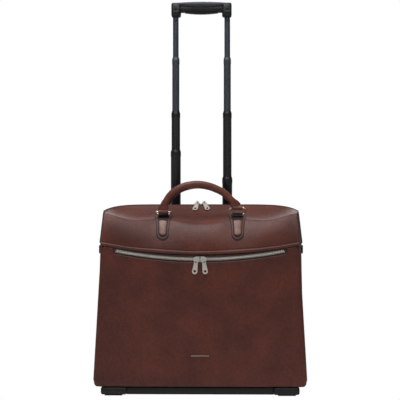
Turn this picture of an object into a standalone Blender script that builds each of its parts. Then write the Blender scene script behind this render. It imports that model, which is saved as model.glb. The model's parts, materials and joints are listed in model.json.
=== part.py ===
"""Soft leather rolling pilot case with a telescopic pull handle.

Metres, +Z up, -Y is the front of the case, the origin is on the floor under its middle.
The lower body is an open-topped leather shell. Its mouth is closed by two top panels that meet at a
zip, and the front one folds forward about the front seam. Everything is at rest as the case stands
ready to pull: mouth shut, carry handles up and pull handle drawn out.
"""

import math

import bmesh
import bpy
from mathutils import Matrix, Vector

# ---- driving dimensions ------------------------------------------------------------------------
GAP = 0.0003  # between pieces that touch

FRONT_Y = -0.100
REAR_Y = 0.100
BODY_BOTTOM = 0.018
BASE_HALF_WIDTH = 0.2145
SEAM_HALF_WIDTH = 0.200
EAR_HALF_WIDTH = 0.204
WIDEST_Z = 0.030
SPLIT_Z = 0.302  # where the top panels meet the lower body, at the sides and the rear
SEAM_LOW_Z = 0.2845  # the front seam dips to this in the middle
RIDGE_Z = 0.384
EAR_Z = 0.372
WALL = 0.003
PANEL = 0.0022  # thickness of the front pocket's leather
SHELL_FRONT_Y = FRONT_Y + PANEL + 2 * GAP
CORNER_RADIUS = 0.006

ZIP_HALF = 0.006  # half the top zip's tape
TAPE = 0.0012
CHAIN_HALF = 0.003
CHAIN_RISE = 0.0014
FRONT_ZIP_HALF = 0.1695
FRONT_ZIP_LOW_Z = 0.2757
FRONT_ZIP_END_Z = 0.2923
FRONT_ZIP_SAG = FRONT_ZIP_END_Z - FRONT_ZIP_LOW_Z
FRONT_ZIP_RADIUS = (FRONT_ZIP_HALF**2 + FRONT_ZIP_SAG**2) / (2 * FRONT_ZIP_SAG)
FRONT_LIP = 0.006  # from the chain's middle down to the pocket's edge
SLIDER_OFFSET = 0.0071  # slider's middle from the case's middle
PULL_LENGTH = 0.030

HANDLE_X = 0.076
HANDLE_RADIUS = 0.0072
RING_WIRE = 0.0014
RING_INNER_WIDTH = 0.030
RING_HEIGHT = 0.015  # between the middles of its two long bars
TAB_THICKNESS = 0.003
LOOP_RADIUS = 0.0046
LOOP_BORE = 0.0024
LOOP_WIDTH = 0.022

TUBE_X = 0.056
TUBE_Y = 0.083
TUBE_WALL = 0.001
TUBE_RADII = {"outer": 0.01225, "stage4": 0.01075, "stage3": 0.00925, "stage2": 0.00775, "stage1": 0.00625}
TUBE_BORE = TUBE_RADII["outer"] + 0.0004
OUTER_TUBE = (0.0250, 0.3550)
STAGE4_RIGHT_TOP = 0.4455
STAGE4_LEFT_TOP = 0.5040
STAGE3_TOP = 0.5880
STAGE2_TOP = 0.7050
GRIP_BOTTOM = 0.7926
GRIP_SPLIT = 0.8118
GRIP_HALF_WIDTH = 0.0655
GRIP_HALF_DEPTH = 0.012
GRIP_TOP = 0.8256

WHEEL_RADIUS = 0.024
WHEEL_HALF_WIDTH = 0.011
WHEEL_CENTRE = (0.190, 0.0837, 0.024)
WELL_RADIUS = 0.027
WELL_HALF_WIDTH = 0.013
HUB_RADIUS = 0.0165
AXLE_RADIUS = 0.003
HOUSING_LOW = (0.168, 0.0534, 0.010)
HOUSING_HIGH = (0.2145, 0.1015, 0.054)

ROUND = 16  # sides of a small round piece


# ---- helpers -----------------------------------------------------------------------------------
def clear_scene():
    for obj in list(bpy.data.objects):
        bpy.data.objects.remove(obj)


def material(name, colour, roughness, metallic=0.0):
    made = bpy.data.materials.new(name)
    made.use_nodes = True
    shader = made.node_tree.nodes["Principled BSDF"]
    shader.inputs["Base Color"].default_value = (*colour, 1)
    shader.inputs["Roughness"].default_value = roughness
    shader.inputs["Metallic"].default_value = metallic
    return made


def finish(name, bm, finish_material, origin=(0, 0, 0)):
    """Makes the bmesh an object whose origin lies at the given point, such as on a joint's axis."""
    bmesh.ops.remove_doubles(bm, verts=bm.verts, dist=1e-6)
    bmesh.ops.recalc_face_normals(bm, faces=bm.faces)
    bmesh.ops.translate(bm, verts=bm.verts, vec=-Vector(origin))
    mesh = bpy.data.meshes.new(name)
    bm.to_mesh(mesh)
    bm.free()
    mesh.shade_smooth()
    mesh.set_sharp_from_angle(angle=math.radians(35))
    obj = bpy.data.objects.new(name, mesh)
    obj.location = origin
    bpy.context.scene.collection.objects.link(obj)
    if finish_material:
        mesh.materials.append(finish_material)
    return obj


def add_box(bm, low, high):
    low, high = Vector(low), Vector(high)
    place = Matrix.Translation((low + high) / 2) @ Matrix.Diagonal((*(high - low), 1))
    return bmesh.ops.create_cube(bm, size=1, matrix=place)["verts"]


def add_cylinder(bm, centre, radius, length, axis="Z", sides=ROUND):
    turns = {"X": Matrix.Rotation(math.pi / 2, 4, "Y"), "Y": Matrix.Rotation(math.pi / 2, 4, "X")}
    place = Matrix.Translation(centre) @ turns.get(axis, Matrix())
    bmesh.ops.create_cone(
        bm, cap_ends=True, segments=sides, radius1=radius, radius2=radius, depth=length, matrix=place
    )


def add_loft(bm, loops, closed=False):
    """Skins loops that each have the same number of points. Open ends are capped."""
    rings = [[bm.verts.new(point) for point in loop] for loop in loops]
    pairs = list(zip(rings, rings[1:]))
    if closed:
        pairs.append((rings[-1], rings[0]))
    for near, far in pairs:
        count = len(near)
        for i in range(count):
            j = (i + 1) % count
            bm.faces.new((near[i], near[j], far[j], far[i]))
    if not closed:
        bm.faces.new(rings[0])
        bm.faces.new(rings[-1])


def add_prism(bm, outline, low, high, axis="Y"):
    """Extrudes a flat outline, given as (X, Z) pairs for axis Y or (X, Y) pairs for axis Z."""
    if axis == "Y":
        ends = [[(x, y, z) for x, z in outline] for y in (low, high)]
    else:
        ends = [[(x, y, z) for x, y in outline] for z in (low, high)]
    add_loft(bm, ends)


def add_sweep(bm, path, radii, sides, closed=False, across=(0, 1, 0)):
    """Sweeps an ellipse along a path that stays about square to `across`.

    radii gives each point's half thickness in the path's own plane and half width along `across`.
    """
    loops = []
    count = len(path)
    for i, point in enumerate(path):
        before = path[(i - 1) % count] if closed or i else path[0]
        after = path[(i + 1) % count] if closed or i < count - 1 else path[-1]
        along = (Vector(after) - Vector(before)).normalized()
        side = Vector(across)
        side = (side - along * side.dot(along)).normalized()
        up = along.cross(side)
        thick, wide = radii[i]
        angles = [2 * math.pi * k / sides for k in range(sides)]
        loops.append([Vector(point) + up * thick * math.cos(a) + side * wide * math.sin(a) for a in angles])
    add_loft(bm, loops, closed)


def boolean(obj, cutters, operation="DIFFERENCE"):
    for cutter in cutters:
        cutter.hide_render = True
        cutter.display_type = "WIRE"
        modifier = obj.modifiers.new("cut " + cutter.name, "BOOLEAN")
        modifier.operation = operation
        modifier.solver = "EXACT"
        modifier.object = cutter
    return obj


def bevel(obj, width, segments=2, angle=40):
    modifier = obj.modifiers.new("rounded edges", "BEVEL")
    modifier.width = width
    modifier.segments = segments
    modifier.limit_method = "ANGLE"
    modifier.angle_limit = math.radians(angle)
    return obj


def box(name, low, high, finish_material, round_by=0.0, origin=(0, 0, 0)):
    bm = bmesh.new()
    add_box(bm, low, high)
    obj = finish(name, bm, finish_material, origin)
    return bevel(obj, round_by) if round_by else obj


def cylinder(name, centre, radius, length, axis, finish_material, sides=ROUND, origin=(0, 0, 0)):
    bm = bmesh.new()
    add_cylinder(bm, centre, radius, length, axis, sides)
    return finish(name, bm, finish_material, origin)


def tube(name, centre, radius, bore, low, high, finish_material, sides=ROUND):
    """A straight upright tube, open at both ends."""
    x, y = centre
    angles = [2 * math.pi * k / sides for k in range(sides)]
    corners = ((radius, low), (radius, high), (bore, high), (bore, low))
    loops = [[(x + r * math.cos(a), y + r * math.sin(a), z) for a in angles] for r, z in corners]
    bm = bmesh.new()
    add_loft(bm, loops, closed=True)
    return finish(name, bm, finish_material)


def bezier(points, t):
    a, b, c, d = (Vector(p) for p in points)
    s = 1 - t
    return a * s**3 + b * 3 * s * s * t + c * 3 * s * t * t + d * t**3


# ---- the case's outline ------------------------------------------------------------------------
def half_width(z):
    """Half the lower body's width: widest near the base, and drawn in below that."""
    if z < WIDEST_Z:
        return BASE_HALF_WIDTH - 0.004 * ((WIDEST_Z - z) / (WIDEST_Z - BODY_BOTTOM)) ** 2
    share = (z - WIDEST_Z) / (SPLIT_Z - WIDEST_Z)
    return BASE_HALF_WIDTH + (SEAM_HALF_WIDTH - BASE_HALF_WIDTH) * share


SIDE_SWELL = 0.0112  # the soft sides stand out this far at the main zip, level with the seam
SWELL_LOW_Z = 0.100
SWELL_HALF_Y = 0.094


def side_swell(z):
    """How far the sides swell out at the main zip: most at the seam, none at the ear or low down."""
    if z > SPLIT_Z:
        return SIDE_SWELL * max(0.0, EAR_Z - z) / (EAR_Z - SPLIT_Z)
    return SIDE_SWELL * max(0.0, z - SWELL_LOW_Z) / (SPLIT_Z - SWELL_LOW_Z)


def seam_z(x):
    """Height of the curved seam across the front."""
    share = min(1.0, abs(x) / (SEAM_HALF_WIDTH - 0.004)) ** 2
    return SEAM_LOW_Z + (SPLIT_Z - SEAM_LOW_Z) * share


def front_zip_z(x):
    return FRONT_ZIP_LOW_Z + FRONT_ZIP_RADIUS - math.sqrt(FRONT_ZIP_RADIUS**2 - x * x)


def ridge_z(u):
    """Height of the top zip at a share u of the half width: level, then drooping to the ears."""
    return RIDGE_Z + (EAR_Z - RIDGE_Z) * abs(u) ** 8


def top_half_width(s):
    return EAR_HALF_WIDTH + (SEAM_HALF_WIDTH - EAR_HALF_WIDTH) * s


ROOF_SAG = 0.0035  # the soft roof dips between the zip and the handle's tabs
ROOF_SAG_END = 0.32


def front_top(u, s):
    """A point of the front top panel: s runs from the zip (0) down to the seam (1)."""
    x = u * top_half_width(s)
    end = abs(u) ** 3
    near_zip = Vector((-0.048, 0.362)).lerp(Vector((-0.040, 0.369)), end)
    shoulder = Vector((-0.092, 0.335)).lerp(Vector((-0.096, 0.348)), end)
    edge = -(ZIP_HALF + GAP)
    y, z = bezier(((edge, ridge_z(u)), near_zip, shoulder, (FRONT_Y, seam_z(x) + 2 * GAP)), s)
    sag = ROOF_SAG * math.sin(math.pi * s / ROOF_SAG_END) ** 2 * (1 - end) if s < ROOF_SAG_END else 0
    return Vector((x, y, z - sag))


REAR_ROOF = 0.60  # share of the rear panel's run that is sloping roof
REAR_LEDGE_Z = 0.3525


def rear_top(u, s):
    """A point of the rear top panel: roof, then a level ledge for the pull handle, then the rear wall."""
    x = u * top_half_width(s)
    end = abs(u) ** 6
    ledge = REAR_LEDGE_Z - 0.010 * end
    if s <= REAR_ROOF:
        start = (ZIP_HALF + GAP, ridge_z(u))
        y, z = bezier((start, (0.030, 0.367), (0.050, ledge), (0.066, ledge)), s / REAR_ROOF)
    elif s <= 0.8:
        y, z = Vector((0.066, ledge)).lerp(Vector((REAR_Y - 0.004, ledge - 0.004 * end)), (s - 0.6) / 0.2)
    elif s <= 0.9:
        y, z = Vector((REAR_Y - 0.004, ledge - 0.004 * end)).lerp(Vector((REAR_Y, ledge - 0.006)), (s - 0.8) / 0.1)
    else:
        y, z = Vector((REAR_Y, ledge - 0.006)).lerp(Vector((REAR_Y, SPLIT_Z + 2 * GAP)), (s - 0.9) / 0.1)
    return Vector((x, y, z))


def surface_normal(surface, u, s):
    step = 1e-3
    du = surface(u + step, s) - surface(u - step, s)
    ds = surface(u, s + step) - surface(u, s - step)
    normal = du.cross(ds).normalized()
    return normal if normal.z > 0 or (abs(normal.z) < 0.2 and normal.y < 0) else -normal


# ---- leather body ------------------------------------------------------------------------------
def body_loop(inset, z, rim=False):
    """One horizontal outline of the lower body; with rim set, its front dips with the seam."""
    w = half_width(z) - inset
    front, rear = SHELL_FRONT_Y + inset, REAR_Y - inset
    radius = max(CORNER_RADIUS - inset, 0.002)
    points = []
    for k in range(9):
        points.append((-w + radius + (2 * w - 2 * radius) * k / 8, front))
    side_ys = [front + radius + (rear - front - 2 * radius) * k / 6 for k in range(1, 6)]
    swollen = [(w + side_swell(z) * max(0.0, 1 - (y / SWELL_HALF_Y) ** 2), y) for y in side_ys]
    for cx, cy, start in ((w - radius, front + radius, -60), (w - radius, rear - radius, 0)):
        for k in range(3):
            a = math.radians(start + 30 * k)
            points.append((cx + radius * math.cos(a), cy + radius * math.sin(a)))
        if start < 0:
            points += swollen
    points.append((w - radius, rear))
    points.append((-w + radius, rear))
    for cx, cy, start in ((-w + radius, rear - radius, 120), (-w + radius, front + radius, 180)):
        for k in range(3):
            a = math.radians(start + 30 * k)
            points.append((cx + radius * math.cos(a), cy + radius * math.sin(a)))
        if start == 120:
            points += [(-x, y) for x, y in reversed(swollen)]
    return [(x, y, min(z, seam_z(x) - 2 * GAP) if rim and y < front + 1e-6 else z) for x, y in points]


def case_shell(leather):
    bm = bmesh.new()
    outer = [body_loop(0.004, BODY_BOTTOM), body_loop(0.001, BODY_BOTTOM + 0.0015)]
    levels = (SWELL_LOW_Z, 0.20, 0.27)
    outer += [body_loop(0, z) for z in (BODY_BOTTOM + 0.005, WIDEST_Z, *levels)]
    inner = [body_loop(WALL, z) for z in (*reversed(levels), WIDEST_Z, BODY_BOTTOM + WALL)]
    rims = [body_loop(0, SPLIT_Z, True), body_loop(WALL, SPLIT_Z, True)]
    add_loft(bm, outer + rims + inner)
    shell = finish("case_shell", bm, leather)
    notches = []
    for side, label in ((-1, "left"), (1, "right")):
        low, high = Vector(HOUSING_LOW), Vector(HOUSING_HIGH)
        # an inner wall round each wheel housing, then the housing's own space
        cutter = bmesh.new()
        spans = sorted((side * (low.x - GAP), side * 0.25))
        add_box(cutter, (spans[0], low.y - GAP, 0), (spans[1], 0.15, high.z + GAP))
        notches.append(finish(f"notch_{label}", cutter, None))
        wall = bmesh.new()
        spans = sorted((side * (low.x - GAP - WALL), side * 0.2115))
        add_box(wall, (spans[0], low.y - GAP - WALL, BODY_BOTTOM + 0.001), (spans[1], 0.098, high.z + GAP + WALL))
        boolean(shell, [finish(f"notch_wall_{label}", wall, None)], "UNION")
    boolean(shell, notches)
    return shell


def add_skin(bm, outer, inner):
    """Joins two matching grids of points, one inside the other, into one closed sheet."""
    grids = [[[bm.verts.new(point) for point in row] for row in grid] for grid in (outer, inner)]
    rows, columns = len(outer), len(outer[0])
    for grid in grids:
        for r in range(rows - 1):
            for c in range(columns - 1):
                bm.faces.new((grid[r][c], grid[r][c + 1], grid[r + 1][c + 1], grid[r + 1][c]))
    out, back = grids
    for r in (0, rows - 1):
        for c in range(columns - 1):
            bm.faces.new((out[r][c], out[r][c + 1], back[r][c + 1], back[r][c]))
    for c in (0, columns - 1):
        for r in range(rows - 1):
            bm.faces.new((out[r][c], out[r + 1][c], back[r + 1][c], back[r][c]))


def gusset_row(edge, zip_y, level):
    """Level points from a top panel's end edge to the swell at the zip on the side of the case."""
    steps = 3
    row = []
    for k in range(steps, 0, -1):
        share = k / steps
        swell = side_swell(level) * (1 - (1 - share) ** 2)
        row.append(Vector((edge.x + math.copysign(swell, edge.x), edge.y + (zip_y - edge.y) * share, edge.z)))
    return row


def top_panel(name, surface, zip_y, leather):
    """A top panel and its half of both side gussets, as one skin of leather."""
    columns = [-1 + 2 * k / 16 for k in range(17)]
    if zip_y > 0:
        rows = [0, 0.12, 0.25, 0.4, 0.5, 0.6, 0.8, 0.9, 1]
    else:
        rows = [0, 0.07, 0.15, 0.23, 0.32, 0.42, 0.56, 0.7, 0.85, 1]
    toward_zip = -1 if zip_y > 0 else 1
    grids = [], []
    for s in rows:
        outside = [surface(u, s) for u in columns]
        inside = []
        for u, point in zip(columns, outside):
            if s == 0:
                inward = Vector((0, 0, -WALL))
            elif s == 1:
                inward = Vector((0, toward_zip * WALL, 0))
            else:
                inward = -surface_normal(surface, u, s) * WALL
            inward.x = -math.copysign(WALL, u) if abs(u) == 1 else 0
            inside.append(point + inward)
        for grid, line in zip(grids, (outside, inside)):
            level = max(SPLIT_Z + GAP, outside[0].z)
            left, right = gusset_row(line[0], zip_y, level), gusset_row(line[-1], zip_y, level)
            grid.append(left + line + right[::-1])
    bm = bmesh.new()
    add_skin(bm, *grids)
    return finish(name, bm, leather)


def front_pocket_panel(leather):
    """The flat front pocket's outer leather, with a long cut under the seam for its zip."""
    inset = 0.0005
    cut = FRONT_ZIP_HALF + 0.003
    top = []
    steps = 12
    seam_end = SEAM_HALF_WIDTH - 0.001
    top += [(x, seam_z(x) - 2 * GAP) for x in (seam_end, 0.186, cut)]
    for k in range(steps + 1):
        x = cut - 2 * cut * k / steps
        top.append((x, front_zip_z(x) - FRONT_LIP - GAP))
    top += [(x, seam_z(x) - 2 * GAP) for x in (-cut, -0.186, -seam_end)]
    low = BODY_BOTTOM + 0.001
    sides = [(half_width(z) - inset, z) for z in (low, low + 0.004, WIDEST_Z, 0.16)]
    outline = [(-x, z) for x, z in reversed(sides)] + sides + top
    bm = bmesh.new()
    add_prism(bm, outline, FRONT_Y, FRONT_Y + PANEL)
    return finish("front_pocket_panel", bm, leather)


def front_zip(zip_metal):
    """Tape and chain of the front zip, on an arc, tucked under the seam."""
    back = SHELL_FRONT_Y - GAP
    tape = back - TAPE
    chain = FRONT_Y - 0.0006
    bm = bmesh.new()
    loops = []
    steps = 20
    for k in range(steps + 1):
        x = -FRONT_ZIP_HALF + 2 * FRONT_ZIP_HALF * k / steps
        z = front_zip_z(x)
        top, low = seam_z(x) - 3 * GAP, z - FRONT_LIP
        section = [(back, top), (back, low), (tape, low), (tape, z - CHAIN_HALF), (chain, z - CHAIN_HALF)]
        section += [(chain, z + CHAIN_HALF), (tape, z + CHAIN_HALF), (tape, top)]
        loops.append([(x, y, height) for y, height in section])
    add_loft(bm, loops)
    return finish("front_zip", bm, zip_metal)


def top_zip(zip_metal):
    """Tape and chain of the main zip: along the ridge and a short way down each side."""
    path = []
    for z in (SPLIT_Z + 0.002, 0.325, 0.350):
        share = (z - SPLIT_Z) / (EAR_Z - SPLIT_Z)
        x = SEAM_HALF_WIDTH - 0.0006 + (EAR_HALF_WIDTH - SEAM_HALF_WIDTH) * share + side_swell(z)
        path.append((x, z, "side"))
    path.append((EAR_HALF_WIDTH - 0.0008, EAR_Z - 0.0010, "corner"))
    for u in (0.96, 0.9, 0.82, 0.7, 0.55, 0.3, 0.0):
        path.append((u * EAR_HALF_WIDTH, ridge_z(u), "top"))
    loops = []
    outward = {"side": Vector((1, 0, 0.05)), "corner": Vector((0.7, 0, 0.7)), "top": Vector((0.03, 0, 1))}
    mirrored = [(x, z, kind, 1) for x, z, kind in path] + [(-x, z, kind, -1) for x, z, kind in reversed(path[:-1])]
    for x, z, kind, sign in mirrored:
        out = outward[kind].normalized()
        out = Vector((0, 0, 1)) if x == 0 else Vector((out.x * sign, 0, out.z))
        point = Vector((x, 0, z))
        section = [(-ZIP_HALF, -TAPE), (ZIP_HALF, -TAPE), (ZIP_HALF, 0), (CHAIN_HALF, 0), (CHAIN_HALF, CHAIN_RISE)]
        section += [(-CHAIN_HALF, CHAIN_RISE), (-CHAIN_HALF, 0), (-ZIP_HALF, 0)]
        loops.append([point + Vector((0, y, 0)) + out * rise for y, rise in section])
    bm = bmesh.new()
    add_loft(bm, loops)
    return finish("top_zip", bm, zip_metal)


# ---- zip sliders and pulls ---------------------------------------------------------------------
def slider_frame(kind, side):
    """Turns slider-local axes (X along the zip, Y across it, Z away from it) into the case's."""
    if kind == "top":
        seat = Vector((side * SLIDER_OFFSET, 0, RIDGE_Z + CHAIN_RISE + GAP))
        return Matrix.Translation(seat)
    x = side * SLIDER_OFFSET
    seat = Vector((x, FRONT_Y - 0.0006 - GAP, front_zip_z(x)))
    return Matrix.Translation(seat) @ Matrix.Rotation(math.pi / 2, 4, "X")


SLIDER_PLATE = 0.0022
BRIDGE_RISE = {"top": 0.0049, "front": 0.0046}
BRIDGE_HALF_LENGTH = 0.0040
BRIDGE_BAR = 0.0012
PIVOT_RISE = SLIDER_PLATE + 0.0022
PULL_HALF_THICKNESS = 0.0007
PIVOT_SHIFT = {"top": -0.0013, "front": 0}  # along the bridge, toward the side the pull lies on
PULL_LEAN = {"top": -56, "front": 0}  # degrees from hanging straight down
PULL_SPLAY = {("top", -1): -10, ("top", 1): 16, ("front", -1): -8, ("front", 1): 8}


def zip_slider(kind, side, label, zip_metal):
    """A slider's shield-shaped plate with the arched bridge that its pull hangs from."""
    name = f"{kind}_zip_slider_{label}"
    bm = bmesh.new()
    broad, narrow = -side * 0.0062, side * 0.0062  # the broad end faces its fellow
    low = -0.0032 if kind == "top" else -0.0056
    outline = [(narrow, 0.0030), (narrow, -0.0030), (0, low), (broad, low), (broad, 0.0052), (0, 0.0056)]
    add_prism(bm, outline, 0, SLIDER_PLATE, "Z")
    plate = finish(name, bm, zip_metal)
    arch = bmesh.new()
    post = BRIDGE_HALF_LENGTH
    crown = SLIDER_PLATE + BRIDGE_RISE[kind]
    add_box(arch, (-0.0016, -post, SLIDER_PLATE - 0.0006), (0.0016, post, crown))
    arch_obj = finish(name + "_arch", arch, None)
    window = bmesh.new()
    add_box(window, (-0.003, -post + BRIDGE_BAR, SLIDER_PLATE), (0.003, post - BRIDGE_BAR, crown - BRIDGE_BAR))
    boolean(plate, [arch_obj], "UNION")
    boolean(plate, [finish(name + "_window", window, None)])
    frame = slider_frame(kind, side)
    for piece in (plate, arch_obj, bpy.data.objects[name + "_window"]):
        piece.matrix_world = frame
    return plate


def zip_pull(kind, side, label, zip_metal):
    """A tapered metal pull with a window for the bridge and a round hole near its tip."""
    name = f"{kind}_zip_pull_{label}"
    half, tip = PULL_HALF_THICKNESS, PULL_LENGTH
    outline = [(-0.0038, 0.0009), (0.0038, 0.0009), (0.0040, -0.010), (0.0054, -tip + 0.006)]
    for k in range(1, 6):
        a = math.radians(36 * k - 18)
        outline.append((0.0054 * math.cos(a), -tip + 0.0050 - 0.0050 * math.sin(a)))
    outline += [(-0.0054, -tip + 0.006), (-0.0040, -0.010)]
    pivot = slider_frame(kind, side) @ Vector((0, PIVOT_SHIFT[kind], PIVOT_RISE))
    bm = bmesh.new()
    add_prism(bm, outline, -half, half)
    pull = finish(name, bm, zip_metal)
    window = bmesh.new()
    add_box(window, (-0.0026, -0.01, -0.0066), (0.0026, 0.01, -0.0009))
    hole = bmesh.new()
    add_cylinder(hole, (0, 0, -tip + 0.0060), 0.0026, 0.02, "Y", 12)
    cutters = [finish(name + "_window", window, None), finish(name + "_hole", hole, None)]
    boolean(pull, cutters)
    lean = Matrix.Rotation(math.radians(PULL_LEAN[kind]), 4, "X")
    lean = lean @ Matrix.Rotation(math.radians(-PULL_SPLAY[kind, side]), 4, "Y")
    for piece in (pull, *cutters):
        piece.matrix_world = Matrix.Translation(pivot) @ lean
    return pull


def zip_end_tab(side, label, leather):
    """The leather tab over the main zip's end, on the side gusset."""
    x = side * (SEAM_HALF_WIDTH + SIDE_SWELL + 2 * GAP)
    low, high = sorted((x, x + side * 0.0025))
    return box(f"zip_end_tab_{label}", (low, -0.010, 0.280), (high, 0.010, 0.3005), leather, 0.0008)


# ---- carry handles -----------------------------------------------------------------------------
TAB_TOP = {"front": 0.315, "rear": 0.270}  # where the tab's loop sits on its panel's run
TAB_END = {"front": 0.760, "rear": 0.560}
SURFACE = {"front": front_top, "rear": rear_top}
LOOP_RISE = LOOP_RADIUS + 0.0007
TAB_U = {kind: HANDLE_X / top_half_width(TAB_TOP[kind]) for kind in TAB_TOP}


def loop_centre(kind, side):
    """The axis that a handle's rings swing about runs through these two points."""
    surface = SURFACE[kind]
    point = surface(TAB_U[kind], TAB_TOP[kind])
    normal = surface_normal(surface, TAB_U[kind], TAB_TOP[kind])
    centre = point + normal * LOOP_RISE
    return Vector((side * HANDLE_X, centre.y, centre.z))


def handle_tab(kind, side, label, leather):
    """A tongue of leather sewn to the top panel, folded round the ring's lower bar."""
    surface = SURFACE[kind]
    start, end = TAB_TOP[kind], TAB_END[kind]
    loops = []
    rows = 10
    for k in range(rows + 1):
        share = k / rows
        s = start + (end - start) * share
        wide = 0.0150 - 0.0040 * share
        if share > 0.8:  # the tongue's round end
            wide *= math.sqrt(max(0.0, 1 - ((share - 0.8) / 0.2) ** 2)) * 0.8 + 0.2
        section = []
        for rise, edge in ((0.0008, -1), (0.0008, 1), (0.0008 + TAB_THICKNESS, 0.9), (0.0008 + TAB_THICKNESS, -0.9)):
            x = side * HANDLE_X + edge * wide
            u = x / top_half_width(s)
            section.append(surface(u, s) + surface_normal(surface, u, s) * rise)
        loops.append(section)
    name = f"{kind}_handle_tab_{label}"
    bm = bmesh.new()
    add_loft(bm, loops)
    tab = finish(name, bm, leather)
    centre = loop_centre(kind, side)
    # the fold round the bar leaves the ring's bore open
    fold = cylinder(name + "_fold", centre, LOOP_RADIUS, LOOP_WIDTH, "X", None, 12)
    bore = cylinder(name + "_bore", centre, LOOP_BORE, LOOP_WIDTH + 0.02, "X", None, 12)
    boolean(tab, [fold], "UNION")
    return boolean(tab, [bore])


RING_TILT = {("front", -1): 18, ("front", 1): 58, ("rear", -1): 52, ("rear", 1): 52}  # degrees up from level


def ring_bar(kind, side):
    """Middle of a ring's far bar, which the handle's end is folded round."""
    tilt = math.radians(RING_TILT[kind, side])
    outward = -1 if kind == "front" else 1
    return loop_centre(kind, side) + Vector((0, outward * RING_HEIGHT * math.cos(tilt), RING_HEIGHT * math.sin(tilt)))


def handle_ring(kind, side, label, zip_metal):
    near, far = loop_centre(kind, side), ring_bar(kind, side)
    away = (far - near).normalized()
    half = RING_INNER_WIDTH / 2 + RING_WIRE
    corner = 0.0045
    path = []
    corners = ((1, 0, -90), (1, 1, 0), (-1, 1, 90), (-1, 0, 180))
    for sx, end, start in corners:
        cx = sx * (half - corner)
        cy = corner if end == 0 else RING_HEIGHT - corner
        for k in range(4):
            a = math.radians(start + 30 * k)
            path.append(near + Vector((1, 0, 0)) * (cx + corner * math.cos(a)) + away * (cy + corner * math.sin(a)))
    across = Vector((1, 0, 0)).cross(away)
    bm = bmesh.new()
    add_sweep(bm, path, [(RING_WIRE, RING_WIRE)] * len(path), 8, True, across)
    return finish(f"{kind}_handle_ring_{label}", bm, zip_metal, origin=near)


def handle_path(kind):
    """Centreline of a carry handle in the XZ plane, from its left ring to its right one."""
    left, right = ring_bar(kind, -1), ring_bar(kind, 1)
    shape = [(-0.0715, 0.390), (-0.064, 0.4025), (-0.051, 0.4145), (-0.033, 0.4230), (-0.012, 0.4270)]
    shape += [(0.008, 0.4258), (0.028, 0.4200), (0.047, 0.4105), (0.061, 0.4000), (0.0705, 0.3900)]
    points = [Vector((left.x, left.y, left.z + 0.0075))]
    for x, z in shape:
        share = (x + HANDLE_X) / (2 * HANDLE_X)
        points.append(Vector((x, left.y + (right.y - left.y) * share, z)))
    points.append(Vector((right.x, right.y, right.z + 0.0060)))
    return left, right, points


def carry_handle(kind, leather):
    """A rolled leather handle whose ends are folded flat round the rings."""
    left, right, points = handle_path(kind)
    thick = [0.0032, 0.0058, 0.0070] + [HANDLE_RADIUS] * (len(points) - 6) + [0.0070, 0.0058, 0.0032]
    wide = [0.0080, 0.0076, 0.0073] + [HANDLE_RADIUS] * (len(points) - 6) + [0.0073, 0.0076, 0.0080]
    # near the rings the strap is broad across the case and thin from front to back
    radii = [(wide[i], thick[i]) for i in range(len(points))]
    bm = bmesh.new()
    add_sweep(bm, points, radii, 10)
    handle = finish(f"{kind}_handle", bm, leather)
    folds, bores = [], []
    for centre, label in ((left, "left"), (right, "right")):
        folds.append(cylinder(f"{kind}_fold_{label}", centre, 0.0052, 0.019, "X", None, 12))
        bores.append(cylinder(f"{kind}_bore_{label}", centre, 0.0030, 0.040, "X", None, 12))
    boolean(handle, folds, "UNION")
    return boolean(handle, bores)


# ---- pull handle -------------------------------------------------------------------------------
def pull_handle_tubes(steel):
    runs = {
        "outer": {-1: OUTER_TUBE, 1: OUTER_TUBE},
        "stage4": {-1: (STAGE4_LEFT_TOP - 0.300, STAGE4_LEFT_TOP), 1: (STAGE4_RIGHT_TOP - 0.300, STAGE4_RIGHT_TOP)},
        "stage3": {side: (STAGE3_TOP - 0.290, STAGE3_TOP) for side in (-1, 1)},
        "stage2": {side: (STAGE2_TOP - 0.280, STAGE2_TOP) for side in (-1, 1)},
        "stage1": {side: (GRIP_BOTTOM - 0.270, GRIP_BOTTOM + 0.0150) for side in (-1, 1)},
    }
    for stage, sides in runs.items():
        for side, label in ((-1, "left"), (1, "right")):
            low, high = sides[side]
            radius = TUBE_RADII[stage]
            name = f"{stage}_tube_{label}"
            tube(name, (side * TUBE_X, TUBE_Y), radius, radius - TUBE_WALL, low, high, steel)


def tube_holes(obj, low, high, radius, mark):
    for side, label in ((-1, "left"), (1, "right")):
        middle = (side * TUBE_X, TUBE_Y, (low + high) / 2)
        boolean(obj, [cylinder(f"{mark}_{label}", middle, radius, high - low, "Z", None, 20)])
    return obj


def tube_mounts(plastic, board):
    """What holds the fixed outer tubes: a foot bracket, a top bezel and a casing round them."""
    bracket = box("tube_bracket", (-0.078, 0.0690, 0.0247), (0.078, 0.0960, 0.0447), plastic)
    tube_holes(bracket, 0.02, 0.05, TUBE_BORE, "bracket_hole")
    low = REAR_LEDGE_Z + GAP
    bezel = box("tube_bezel", (-0.080, 0.0690, low), (0.080, 0.0955, low + 0.0030), plastic)
    tube_holes(bezel, low - 0.01, low + 0.01, TUBE_BORE, "bezel_hole")
    outline = [(-0.085, 0.0960), (-0.085, 0.0655), (0.085, 0.0655), (0.085, 0.0960), (0.083, 0.0960)]
    outline += [(0.083, 0.0675), (-0.083, 0.0675), (-0.083, 0.0960)]
    bm = bmesh.new()
    add_prism(bm, outline, 0.0247, 0.3460, "Z")
    finish("tube_casing", bm, board)


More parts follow.
